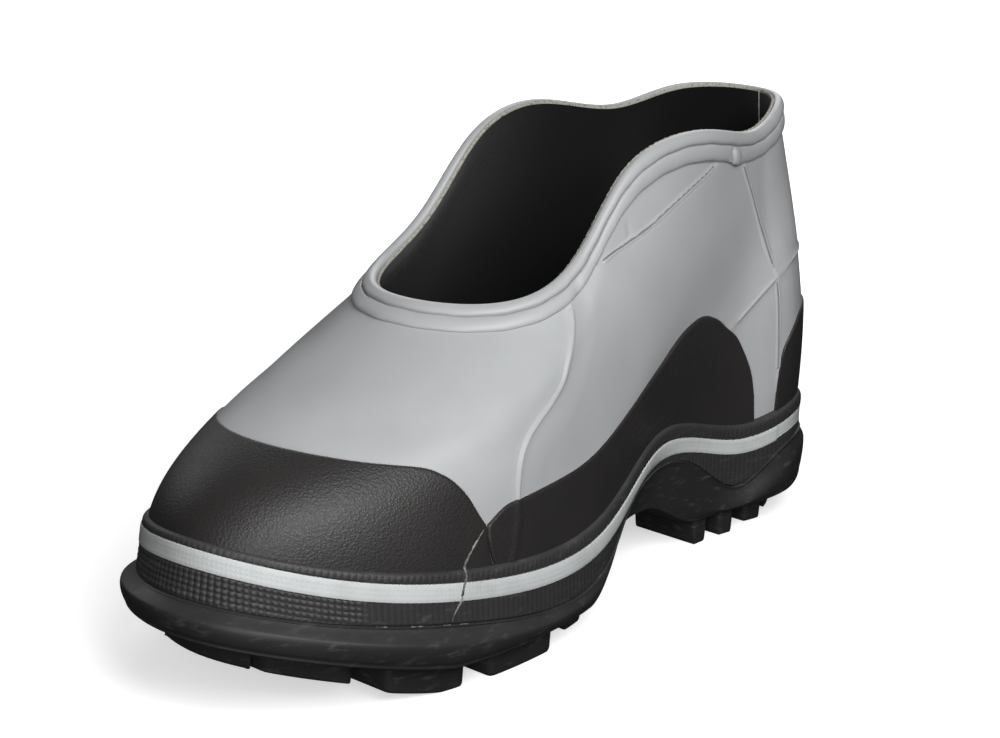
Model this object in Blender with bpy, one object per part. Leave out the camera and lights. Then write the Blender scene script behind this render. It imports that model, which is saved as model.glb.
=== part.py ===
"""Dielectric overshoe, the wearer's right: moulded outsole, hollow rubber upper and the overlays round it.

The upper's wall is one function of two parameters. t runs once round the foot in station steps: heel 0,
medial side 1 to 6, toe 7, lateral side 8 to 13. v runs up the wall: 0 at the stripe line, 1 at the collar.
Sizes are millimetres until a mesh is made. The toe points to +Y, the medial side to -X, the floor is z 0.
"""
import bpy
import bmesh
import numpy as np

MM = 0.001

# Driving dimensions
LENGTH = 318.0
BALL_WIDTH = 124.0
COLLAR_HEIGHT = 160.0
WALL = 2.5
OVERLAY = 1.0
FOXING = 2.3
STRIPE_HEIGHT = 6.0
STRIPE_DEPTH = 1.0
STRIPE_PROUD = 0.2
BAND_WIDTH = 11.0
LUG_HEIGHT = 10.0
PLATE = 7.0
INSOLE = 3.0
TOE_SPRING = 19.0
SPRING_START = 0.786
SPRING_POWER = 1.15
ARCH_RISE = {"medial": 12.5, "bed": 9.5, "lateral": 8.0}
ARCH_SLOPES = {"root": [(0.290, 0.375), (0.575, 0.475)], "bed": [(0.25, 0.40), (0.60, 0.45)]}
HEEL_BEVEL = 4.5
BEVEL_START = 0.13
LIP_STEP = 0.6
ROOT_INSET = 3.5

# Local forms on both sides: place as t of the medial side, reach and size. At the heel the lip dips, by
# millimetres. Below the stripe line the wall leans in at the waist and out at the toe.
HEEL_DIP = (2.02, 0.42, 9.5)
WAIST_LEAN = (3.30, 0.42, 0.38)
TOE_LEAN = (7.00, 1.80, -0.20)

# Clearances: between plain faces, and between the wall and what wraps it
GAP = 0.3
WRAP_GAP = 0.45

# The last, a row for each station. along, side and line_z place the stripe line on the outside of the foxing,
# top_along, top_side and top_z the collar's inner edge: shares of LENGTH, BALL_WIDTH and COLLAR_HEIGHT, but
# line_z in millimetres. rise and flare lead the wall up from the line, drop and spread lead it down from the
# collar. cuff is how far the foxing rises above the line, lip_drop how far below it the outsole's lip ends,
# bulge how far the rim stands out and crest at which share of its depth.
COLUMNS = ("along", "side", "line_z", "top_along", "top_side", "top_z",
           "rise", "flare", "drop", "spread", "cuff", "lip_drop", "bulge", "crest")
STATIONS = {
    "heel": (0.000, 0.000, 31, 0.048, 0.000, 0.998, 60, 3, 47, 0.5, 8.5, 6, 2.5, 0.32),
    "medial_heel_corner": (0.103, -0.338, 38.5, 0.099, -0.175, 0.994, 60, 5, 47, 9.5, 8.5, 6, 2.2, 0.28),
    "medial_heel_side": (0.220, -0.326, 35, 0.189, -0.253, 0.964, 42, 3, 40, 3, 8.5, 6.5, 3, 0.75),
    "medial_waist": (0.372, -0.340, 45.5, 0.303, -0.294, 1.004, 35, 4.5, 40, 6, 8.5, 6, 0, 0.60),
    "medial_mid": (0.553, -0.489, 31.3, 0.420, -0.275, 0.961, 29.5, -1.5, 34.5, 9.5, 8.5, 12.3, 1.2, 0.45),
    "medial_ball": (0.756, -0.504, 34.6, 0.503, -0.276, 0.801, 30, -2.5, 34.5, 21.5, 7, 10.8, 4, 0.38),
    "medial_toe_corner": (0.914, -0.362, 45.6, 0.594, -0.238, 0.711, 30.5, -3, 34.5, 32, 6, 11.3, 4.5, 0.28),
    "toe": (1.000, -0.061, 54.5, 0.654, 0.000, 0.706, 31, -3, 32.5, 37.5, 5.4, 13, 4.5, 0.25),
    "lateral_toe_corner": (0.917, 0.332, 44.2, 0.594, 0.238, 0.711, 30.5, -3, 34.5, 32, 6, 11.3, 4.5, 0.28),
    "lateral_ball": (0.750, 0.489, 35, 0.503, 0.276, 0.801, 30, -2.5, 34.5, 21.5, 7, 10.8, 4, 0.38),
    "lateral_mid": (0.575, 0.499, 32.8, 0.420, 0.275, 0.961, 29.5, -1.5, 34.5, 9.5, 8.5, 12.3, 1.2, 0.45),
    "lateral_waist": (0.376, 0.387, 40.6, 0.303, 0.294, 1.004, 35, 4.5, 40, 6, 8.5, 6, 0, 0.60),
    "lateral_heel_side": (0.220, 0.329, 35, 0.189, 0.253, 0.964, 42, 3, 40, 3, 8.5, 6.5, 3, 0.75),
    "lateral_heel_corner": (0.103, 0.341, 38.5, 0.099, 0.175, 0.994, 60, 5, 47, 9.5, 8.5, 6, 2.2, 0.28),
}
TABLE = np.array(list(STATIONS.values()))
TURN = len(STATIONS)

# Sections, from the inside of the lip or bead round its outer face
RIM_SECTION = [(1.00, 0.00), (0.70, 0.45), (-0.10, 0.85)]
SEAM_SECTION = [(-1.0, -1.0), (-0.4, 0.7), (0.4, 0.7), (1.0, -1.0)]
BAND_SECTION = [(0.0, 1.5), (1.5, 2.2), (4.5, 2.2), (5.8, 1.2), (7.0, 1.9), (9.5, 1.9), (BAND_WIDTH, 1.0)]
FOXING_ROUND = (1.5, 1.2)

# Edges of the overlays and lines of the seams on the medial side, as (t, v) points
TOE_CAP_EDGE = [(5.03, 0.21), (5.28, 0.30), (5.50, 0.36), (5.75, 0.415), (6.00, 0.45),
                (6.40, 0.455), (7.00, 0.455)]
TOE_CAP_FOOT = 4.83
GUARD_EDGE = [(5.01, 0.215), (4.93, 0.265), (4.76, 0.28), (4.50, 0.29), (4.20, 0.295), (3.85, 0.31),
              (3.45, 0.325), (3.20, 0.345), (2.95, 0.393), (2.68, 0.428), (2.44, 0.42), (2.26, 0.39),
              (2.11, 0.36), (2.01, 0.32), (1.91, 0.265), (1.84, 0.21), (1.79, 0.14)]
GUARD_FOOT = (4.81, 1.75)
COUNTER_EDGE = [(1.45, 0.11), (1.44, 0.165), (1.40, 0.22), (1.32, 0.245), (1.20, 0.268), (1.00, 0.295),
                (0.60, 0.318), (0.00, 0.330)]
COUNTER_FOOT = 1.45
SEAMS = {
    "instep": [(5.35, 0.86), (5.31, 0.80), (5.22, 0.71), (5.10, 0.63), (5.10, 0.575), (5.14, 0.53),
               (5.14, 0.49), (5.11, 0.453), (5.04, 0.40), (4.93, 0.33)],
    "quarter": [(4.60, 0.865), (4.16, 0.80), (3.78, 0.78), (3.45, 0.803), (3.21, 0.833), (2.94, 0.872)],
    "back": [(2.16, 0.87), (1.96, 0.773), (1.75, 0.65), (1.62, 0.553), (1.54, 0.48), (1.50, 0.393),
             (1.48, 0.31)],
    "heel": [(2.07, 0.405), (1.96, 0.428), (1.80, 0.453), (1.62, 0.473), (1.42, 0.485), (1.20, 0.495),
             (0.60, 0.505), (0.00, 0.51)],
}
SEAM_WIDTH = 3.0

# Tread lugs: front and back end on the outline as t of the medial side, inset from it, half gap to the centre
# line and lift. The end lugs run across the toe and the back of the heel.
LUGS = [
    (6.42, 5.81, 5, 5, 2), (5.58, 5.02, 4, 9, 0), (4.85, 4.37, 3.2, 5, 0), (4.12, 3.93, 8.5, 9, 0),
    (2.46, 2.32, 1, 10, 0), (2.15, 1.99, 1, 8, 0), (1.72, 1.46, 6.5, 10, 0), (1.10, 0.88, 10.7, 8, 0),
]
END_LUGS = [(6.50, 7.50, 5, 2), (-0.66, 0.66, 12, 0)]
LUG_ROOT = 2.0

AROUND = 66
STEP = 1e-4
UP = np.array([0.0, 0.0, 1.0])


def closed_spline(rows, t):
    """Closed cubic spline through the rows, one row at each whole t, smooth to its second derivative."""
    count = len(rows)
    system = 4 * np.eye(count) + np.roll(np.eye(count), 1, 0) + np.roll(np.eye(count), -1, 0)
    bend = np.linalg.solve(system, 6 * (np.roll(rows, -1, 0) - 2 * rows + np.roll(rows, 1, 0)))
    whole = np.floor(t).astype(int)
    start, end = whole % count, (whole + 1) % count
    far = (t - whole)[..., None]
    near = 1 - far
    bow = (near**3 - near) * bend[start] + (far**3 - far) * bend[end]
    return near * rows[start] + far * rows[end] + bow / 6


def open_spline(points, s):
    """Curve through the points, each a whole s apart, its slope at a point that of its two neighbours."""
    rows = np.array(points, float)
    slope = np.gradient(rows, axis=0)
    start = np.clip(np.floor(s).astype(int), 0, len(rows) - 2)
    far = (s - start)[..., None]
    return (rows[start] * (1 + 2 * far) * (1 - far)**2 + rows[start + 1] * far**2 * (3 - 2 * far)
            + slope[start] * far * (1 - far)**2 - slope[start + 1] * far**2 * (1 - far))


def sizes(t):
    """Every column of the station table at t."""
    return dict(zip(COLUMNS, np.moveaxis(closed_spline(TABLE, t), -1, 0)))


def stripe_line(t):
    """Centre line of the stripe, on the outside of the foxing."""
    size = sizes(t)
    return np.stack([size["side"] * BALL_WIDTH, size["along"] * LENGTH, size["line_z"]], -1)


def collar_line(t):
    """Inner top edge of the collar."""
    size = sizes(t)
    return np.stack([size["top_side"] * BALL_WIDTH, size["top_along"] * LENGTH,
                     size["top_z"] * COLLAR_HEIGHT], -1)


def plan_normal(line, t):
    """Level unit normal of a closed line, pointing out of the shoe."""
    ahead = line(t + STEP) - line(t - STEP)
    normal = np.stack([-ahead[..., 1], ahead[..., 0], np.zeros_like(t)], -1)
    return normal / np.linalg.norm(normal, axis=-1, keepdims=True)


def hump(t, place, reach, size):
    """Bell of this size at the same place on both sides of the foot."""
    from_heel = np.minimum(t % TURN, TURN - t % TURN)
    return size * np.exp(-((from_heel - place) / reach)**2)


def lean_below(t):
    """How far the wall comes in for each millimetre down from the stripe line."""
    return hump(t, *WAIST_LEAN) + hump(t, *TOE_LEAN)


def wall(t, v):
    """Outer face of the upper: a cubic Bezier from behind the foxing to the collar, straight below it."""
    size = {name: value[..., None] for name, value in sizes(t).items()}
    low_normal = plan_normal(stripe_line, t)
    top_normal = plan_normal(collar_line, t)
    foot = stripe_line(t) - (FOXING + WRAP_GAP) * low_normal
    lean = top_normal * size["drop"] + UP * size["spread"]
    collar = collar_line(t) + WALL * lean / np.linalg.norm(lean, axis=-1, keepdims=True)
    low_handle = foot + low_normal * size["flare"] + UP * size["rise"]
    top_handle = collar + top_normal * size["spread"] - UP * size["drop"]
    up = np.maximum(v, 0)[..., None]
    curve = (foot * (1 - up)**3 + 3 * low_handle * up * (1 - up)**2
             + 3 * top_handle * up**2 * (1 - up) + collar * up**3)
    below = 3 * size["rise"] * np.minimum(v, 0)[..., None]
    return curve + (UP + low_normal * lean_below(t)[..., None]) * below


def skin(t, v, out):
    """The wall's point at (t, v), moved out along the wall's own normal."""
    t, v, out = np.broadcast_arrays(np.asarray(t, float), np.asarray(v, float), np.asarray(out, float))
    along = wall(t + STEP, v) - wall(t - STEP, v)
    upward = wall(t, v + STEP) - wall(t, v - STEP)
    normal = np.cross(upward, along)
    return wall(t, v) + out[..., None] * normal / np.linalg.norm(normal, axis=-1, keepdims=True)


def v_above_line(t, height):
    """v at which the wall is this high above the stripe line, closed in on by repeated steps."""
    size = sizes(t)
    v = height / (3 * size["rise"])
    for _ in range(6):
        v = v + (height - wall(t, v)[..., 2] + size["line_z"]) / (3 * size["rise"])
    return v


def v_below_collar(t, depth):
    """v at which the wall is this far down from the collar, measured on the wall."""
    size = sizes(t)
    return 1 - depth / (3 * np.hypot(size["drop"], size["spread"]))


def ground(y):
    """Height of the tread's lowest face: the floor, then the toe spring."""
    past = np.clip((y / LENGTH - SPRING_START) / (1 - SPRING_START), 0, None)
    return TOE_SPRING * past**SPRING_POWER


def smooth(share):
    """0 below share 0, 1 above share 1, and an S-curve between them."""
    share = np.clip(share, 0, 1)
    return share**2 * (3 - 2 * share)


def arch(y, face):
    """Share of the arch's rise in this face: 0 at the heel and the ball, 1 between them, with smooth slopes."""
    slopes = [(y / LENGTH - low) / (high - low) for low, high in ARCH_SLOPES[face]]
    return smooth(np.minimum(*slopes))


def bed(y):
    """Top of the outsole inside the upper."""
    return ground(y) + LUG_HEIGHT + PLATE + ARCH_RISE["bed"] * arch(y, "bed")


def root(t, y):
    """Underside of the outsole between the lugs: bevelled at the back, its arch higher on the medial side."""
    medial = 0.5 + 0.5 * np.sin(2 * np.pi * t / TURN)
    rise = ARCH_RISE["lateral"] + (ARCH_RISE["medial"] - ARCH_RISE["lateral"]) * medial
    bevel = HEEL_BEVEL * smooth(1 - y / LENGTH / BEVEL_START)
    return ground(y) + LUG_HEIGHT + rise * arch(y, "root") + bevel


def lip_top(t):
    """Height of the outsole's lip, which dips on both sides of the heel."""
    size = sizes(t)
    return size["line_z"] - size["lip_drop"] - hump(t, *HEEL_DIP)


def outline(t, out, z):
    """Points beside the stripe line, moved out level and set at height z."""
    points = stripe_line(t) + plan_normal(stripe_line, t) * np.broadcast_to(out, t.shape)[..., None]
    points[..., 2] = z
    return points


def leaning(t, out, z):
    """Points beside the wall's foot, moved out level from where it leans to and set at height z."""
    return outline(t, out - lean_below(t) * (sizes(t)["line_z"] - z), z)


def bed_beside(t, out):
    """Height of the bed where the wall's foot, moved out level, stands on it."""
    return bed(leaning(t, out, bed(stripe_line(t)[..., 1]))[..., 1])


def rim_loops(t):
    """Outer loops of the outsole's rim: its crest, then in below it."""
    size = sizes(t)
    top, base = lip_top(t), root(t, stripe_line(t)[..., 1])
    loops = []
    for out, share in RIM_SECTION:
        deep = size["crest"] + (1 - size["crest"]) * share
        loops.append(leaning(t, out * size["bulge"], top - deep * (top - base)))
    return loops


ROUND = np.arange(AROUND) * TURN / AROUND
RIM = rim_loops(ROUND)[0]
CENTRE = np.array([*(RIM.min(0) + RIM.max(0))[:2] / 2, 0.0])


def make_object(name, points, faces, material):
    """Mesh object from millimetre points about the shoe's centre, faces turned outwards and shaded smooth."""
    mesh = bpy.data.meshes.new(name)
    mesh.from_pydata(((np.asarray(points) - CENTRE) * MM).tolist(), [], faces)
    shape = bmesh.new()
    shape.from_mesh(mesh)
    bmesh.ops.recalc_face_normals(shape, faces=shape.faces)
    shape.to_mesh(mesh)
    shape.free()
    mesh.shade_smooth()
    mesh.set_sharp_from_angle(angle=np.radians(35))
    if material:
        mesh.materials.append(material)
    piece = bpy.data.objects.new(name, mesh)
    bpy.context.scene.collection.objects.link(piece)
    return piece


def band_faces(rows, columns, closed_rows):
    """Quads of a grid whose columns close round the shoe, and whose rows may close too."""
    last = rows if closed_rows else rows - 1
    return [(r * columns + c, r * columns + (c + 1) % columns,
             (r + 1) % rows * columns + (c + 1) % columns, (r + 1) % rows * columns + c)
            for r in range(last) for c in range(columns)]


def rungs(first, columns):
    """Faces from side to side that close a loop, from the heel's point to the toe's."""
    half = columns // 2
    faces = [(first, first + 1, first + columns - 1)]
    faces += [(first + c, first + c + 1, first + columns - c - 1, first + columns - c)
              for c in range(1, half - 1)]
    faces.append((first + half - 1, first + half, first + half + 1))
    return faces


def ring(name, loops, material):
    """Closed band round the shoe: each loop is one corner of its section."""
    grid = np.array(loops)
    return make_object(name, grid.reshape(-1, 3), band_faces(len(grid), AROUND, True), material)


def slab(name, loops, material):
    """Solid plate: loops from the rim of its top face, over its edge, to the rim of its underside."""
    grid = np.array(loops)
    faces = band_faces(len(grid), AROUND, False) + rungs(0, AROUND) + rungs((len(grid) - 1) * AROUND, AROUND)
    return make_object(name, grid.reshape(-1, 3), faces, material)


def along_wall(path, count):
    """t and v at equal distances along a curve through (t, v) points on the wall."""
    s = np.linspace(0, len(path) - 1, 40 * len(path))
    t, v = open_spline(path, s).T
    steps = np.linalg.norm(np.diff(skin(t, v, 0.0), axis=0), axis=1)
    reached = np.concatenate([[0], np.cumsum(steps)])
    return open_spline(path, np.interp(np.linspace(0, reached[-1], count), reached, s)).T


def overlay(name, edge, foot_from, foot_to, columns, rows, material):
    """Sheet on the wall from the foxing's top edge up to an edge line of (t, v) points."""
    top_t, top_v = along_wall(edge, columns)
    foot_t = foot_from + (foot_to - foot_from) * (top_t - top_t[0]) / (top_t[-1] - top_t[0])
    foot_v = v_above_line(foot_t, sizes(foot_t)["cuff"] + GAP)
    share = np.linspace(0, 1, rows)[:, None]
    t = foot_t + (top_t - foot_t) * share
    v = foot_v + (top_v - foot_v) * share
    sheets = [skin(t, v, out).reshape(-1, 3) for out in (WRAP_GAP, WRAP_GAP + OVERLAY)]
    size = rows * columns
    cells = [(r * columns + c, r * columns + c + 1, (r + 1) * columns + c + 1, (r + 1) * columns + c)
             for r in range(rows - 1) for c in range(columns - 1)]
    rim = [*range(columns), *range(2 * columns - 1, size, columns),
           *range(size - 2, size - columns - 1, -1), *range(size - 2 * columns, 0, -columns)]
    sides = [(a, b, b + size, a + size) for a, b in zip(rim, rim[1:] + rim[:1])]
    faces = cells + [tuple(corner + size for corner in cell) for cell in cells] + sides
    return make_object(name, np.concatenate(sheets), faces, material)


def mirrored(points):
    """The same (t, v) points on the lateral side."""
    return [(TURN - t, v) for t, v in points]


def across(points):
    """(t, v) points that run to the centre line, carried on down the other side."""
    turn = 2 * points[-1][0]
    return points + [(turn - t, v) for t, v in points[-2::-1]]


def strip(path, steps):
    """Points and faces of a raised seam along (t, v) points, its foot sunk in the wall."""
    t, v = along_wall(path, steps)
    middle = skin(t, v, 0.0)
    normal = skin(t, v, 1.0) - middle
    side = np.cross(normal, np.gradient(middle, axis=0))
    side *= SEAM_WIDTH / 2 / np.linalg.norm(side, axis=1, keepdims=True)
    points = np.stack([middle + side * aside + normal * high for aside, high in SEAM_SECTION], 1)
    faces = [(4 * i + c, 4 * i + (c + 1) % 4, 4 * i + 4 + (c + 1) % 4, 4 * i + 4 + c)
             for i in range(steps - 1) for c in range(4)]
    return points.reshape(-1, 3), faces + [(0, 1, 2, 3), tuple(4 * (steps - 1) + c for c in range(4))]


def prism(plan, low, high):
    """Points and faces of an upright block over a plan outline."""
    count = len(plan)
    points = np.concatenate([np.column_stack([plan, low]), np.column_stack([plan, high])])
    sides = [(c, (c + 1) % count, count + (c + 1) % count, count + c) for c in range(count)]
    return points, sides + [tuple(range(count)), tuple(range(count, 2 * count))]


def lug(front, back, inset, half_gap, lift):
    """Block whose outer face follows the sole's edge, closed by its chord or at the gap in the middle."""
    t = np.linspace(front, back, 5)
    edge = outline(t, -inset, 0.0)[:, :2]
    if half_gap:
        middle = (edge + outline(TURN - t, -inset, 0.0)[:, :2])[::4, 0] / 2
        inner = np.column_stack([middle + np.sign(edge[0, 0] - middle[0]) * half_gap, edge[::4, 1]])
        edge = np.concatenate([edge, inner[::-1]])
    low = ground(edge[:, 1])
    return prism(edge, low + lift, low + LUG_HEIGHT + LUG_ROOT)


def join_to(base, name, blocks):
    """Fuse blocks into a piece with a Boolean union."""
    points, faces, start = [], [], 0
    for block_points, block_faces in blocks:
        points.append(block_points)
        faces += [tuple(corner + start for corner in face) for face in block_faces]
        start += len(block_points)
    tool = make_object(name, np.concatenate(points), faces, None)
    tool.hide_render = True
    tool.display_type = "WIRE"
    union = base.modifiers.new(name, "BOOLEAN")
    union.operation = "UNION"
    union.use_self = True
    union.object = tool


def rubber(name, colour, roughness):
    """Principled material from an sRGB hex colour."""
    channels = np.array([int(colour[i:i + 2], 16) / 255 for i in (0, 2, 4)])
    linear = np.where(channels <= 0.04045, channels / 12.92, ((channels + 0.055) / 1.055)**2.4)
    material = bpy.data.materials.new(name)
    material.use_nodes = True
    shader = material.node_tree.nodes["Principled BSDF"]
    shader.inputs["Base Color"].default_value = (*linear, 1.0)
    shader.inputs["Roughness"].default_value = roughness
    shader.inputs["Metallic"].default_value = 0.0
    return material


def make_outsole(material):
    """Plate with a lip round the upper, a rolled rim, an arch underneath and fused tread lugs."""
    y = stripe_line(ROUND)[:, 1]
    top = lip_top(ROUND)
    foot = bed_beside(ROUND, -FOXING)
    lip = [leaning(ROUND, out, z) for out, z in ((-FOXING, foot), (-FOXING, top), (LIP_STEP, top))]
    sole = slab("outsole", [*lip, *rim_loops(ROUND), leaning(ROUND, -ROOT_INSET, root(ROUND, y))], material)
    blocks = [lug(*row) for row in LUGS]
    blocks += [lug(TURN - front, TURN - back, *rest) for front, back, *rest in LUGS]
    blocks += [lug(front, back, inset, 0.0, lift) for front, back, inset, lift in END_LUGS]
    join_to(sole, "tread_lugs", blocks)


def make_insole(material):
    """Thin sheet on the outsole, inside the wall."""
    inset = -(FOXING + WRAP_GAP + WALL + 2 * GAP)
    base = bed_beside(ROUND, inset) + GAP
    slab("insole", [leaning(ROUND, inset, base + INSOLE), leaning(ROUND, inset, base)], material)


def make_upper(material):
    """Hollow wall of even thickness from the outsole to the collar, with its raised seams."""
    size = sizes(ROUND)
    base = bed_beside(ROUND, -FOXING - WRAP_GAP) + GAP
    foot = v_above_line(ROUND, base - size["line_z"])
    lip = v_above_line(ROUND, np.maximum(lip_top(ROUND), base + WALL) - size["line_z"])
    line = np.zeros(AROUND)
    low = v_above_line(ROUND, size["cuff"])
    high = v_below_collar(ROUND, BAND_WIDTH)
    between = [low + (high - low) * share for share in np.linspace(0, 1, 8)]
    outside = [foot, lip, line, *between, v_below_collar(ROUND, BAND_WIDTH / 2), line + 1]
    inside = [line + 1, *between[:0:-2], line, foot]
    loops = [skin(ROUND, v, 0.0) for v in outside] + [skin(ROUND, v, -WALL) for v in inside]
    body = ring("upper", loops, material)
    paths = [path for name, path in SEAMS.items() if name != "heel"]
    paths += [mirrored(path) for path in paths] + [across(SEAMS["heel"])]
    join_to(body, "raised_seams", [strip(path, 2 * len(path)) for path in paths])


def make_foxing(material):
    """Strip round the joint of upper and outsole, with a groove for the stripe and a rounded top."""
    cuff = sizes(ROUND)["cuff"]
    base = lip_top(ROUND) + GAP
    half, face = STRIPE_HEIGHT / 2 + GAP, WRAP_GAP + FOXING
    floor = face - STRIPE_DEPTH - GAP
    section = [(0.0, WRAP_GAP), (cuff, WRAP_GAP), (cuff, face - FOXING_ROUND[1]),
               (cuff - FOXING_ROUND[0], face), (half, face), (half, floor), (-half, floor), (-half, face)]
    loops = [skin(ROUND, v_above_line(ROUND, height + 0 * ROUND), out) for height, out in section]
    ring("foxing_band", [leaning(ROUND, GAP - FOXING, base), *loops, leaning(ROUND, 0.0, base)], material)


def make_stripe(material):
    """Pale strip in the foxing's groove, a little proud of it."""
    half, face = STRIPE_HEIGHT / 2, WRAP_GAP + FOXING
    section = [(side * half, face + out) for side, out in
               ((-1, -STRIPE_DEPTH), (-1, STRIPE_PROUD), (1, STRIPE_PROUD), (1, -STRIPE_DEPTH))]
    loops = [skin(ROUND, v_above_line(ROUND, height + 0 * ROUND), out) for height, out in section]
    ring("white_stripe", loops, material)


def make_collar_band(material):
    """Double bead outside the collar: a broad one at the edge and a slimmer one below a groove."""
    section = [(0.0, WRAP_GAP), *BAND_SECTION, (BAND_WIDTH, WRAP_GAP), (BAND_WIDTH / 2, WRAP_GAP)]
    ring("collar_band", [skin(ROUND, v_below_collar(ROUND, depth), out) for depth, out in section], material)


for leftover in list(bpy.data.objects):
    bpy.data.objects.remove(leftover, do_unlink=True)

BLACK = rubber("black_rubber", "2b2b2c", 0.55)
GRAIN = rubber("grained_black_rubber", "302f2e", 0.50)
GREY = rubber("grey_rubber", "a9abad", 0.42)
WHITE = rubber("white_rubber", "d6dada", 0.45)
LINING = rubber("dark_textile", "1c1c1d", 0.90)

make_outsole(BLACK)
make_insole(LINING)
make_upper(GREY)
make_foxing(BLACK)
make_stripe(WHITE)
make_collar_band(GREY)
overlay("toe_cap", across(TOE_CAP_EDGE), TOE_CAP_FOOT, TURN - TOE_CAP_FOOT, 27, 8, GRAIN)
overlay("side_guard_medial", GUARD_EDGE, *GUARD_FOOT, 27, 6, GRAIN)
overlay("side_guard_lateral", mirrored(GUARD_EDGE), TURN - GUARD_FOOT[0], TURN - GUARD_FOOT[1], 27, 6, GRAIN)
overlay("heel_counter", across(COUNTER_EDGE), COUNTER_FOOT, -COUNTER_FOOT, 23, 6, GRAIN)
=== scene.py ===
"""Dielectric overshoe, the wearer's right: its looks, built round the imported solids.

Every piece is worked out on the last, the form that the shoe is made on. t runs once round the foot in
station steps: heel 0, medial side 1 to 6, toe 7, lateral side 8 to 13. v runs up the wall: 0 at the stripe,
1 at the collar. Sizes are millimetres until a mesh is made. The toe points to +Y, the medial side to -X, and
the floor is z 0.
"""

import bmesh
import bpy
import numpy as np
from mathutils import Matrix, Vector


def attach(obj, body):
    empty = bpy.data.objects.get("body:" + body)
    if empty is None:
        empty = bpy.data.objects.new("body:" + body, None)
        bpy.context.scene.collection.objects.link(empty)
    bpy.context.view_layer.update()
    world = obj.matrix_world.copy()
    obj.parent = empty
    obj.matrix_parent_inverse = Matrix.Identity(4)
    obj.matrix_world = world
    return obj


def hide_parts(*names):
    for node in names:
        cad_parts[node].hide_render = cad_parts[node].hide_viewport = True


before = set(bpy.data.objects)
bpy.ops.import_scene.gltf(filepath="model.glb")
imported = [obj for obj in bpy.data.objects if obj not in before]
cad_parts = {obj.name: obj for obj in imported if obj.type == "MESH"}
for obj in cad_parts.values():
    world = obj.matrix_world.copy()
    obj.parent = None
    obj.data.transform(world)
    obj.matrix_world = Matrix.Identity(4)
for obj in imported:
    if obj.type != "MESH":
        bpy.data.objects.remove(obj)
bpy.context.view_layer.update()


# Outsole: one moulding of black rubber, cured onto the foot of the upper. A lip wraps the foxing, the rim
# below it is rolled out, and the underside rises in an arch between the heel and the ball.

MM = 0.001
LENGTH = 318.0
BALL_WIDTH = 124.0
COLLAR_HEIGHT = 160.0
LUG_HEIGHT = 10.0
PLATE = 7.0
TOE_SPRING = 19.0
SPRING_START = 0.786
SPRING_POWER = 1.15
ARCH_RISE = {"medial": 12.5, "bed": 9.5, "lateral": 8.0}
ARCH_SLOPES = {"root": [(0.290, 0.375), (0.575, 0.475)], "bed": [(0.25, 0.40), (0.60, 0.45)]}
HEEL_BEVEL = 4.5
BEVEL_START = 0.13
FOXING = 2.3
LIP_STEP = 0.6
ROOT_INSET = 3.5
GAP = 0.3
STEP = 1e-4
UP = np.array([0.0, 0.0, 1.0])
SOLID_COLUMNS = 66
AROUND = 640
MERGE_M = 2e-6
SHARP_DEGREES = 50

# Local forms on both sides: place as t of the medial side, reach and size. At the heel the lip dips, by
# millimetres. Below the stripe line the wall leans in at the waist and out at the toe.
HEEL_DIP = (2.02, 0.42, 9.5)
WAIST_LEAN = (3.30, 0.42, 0.38)
TOE_LEAN = (7.00, 1.80, -0.20)

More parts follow.
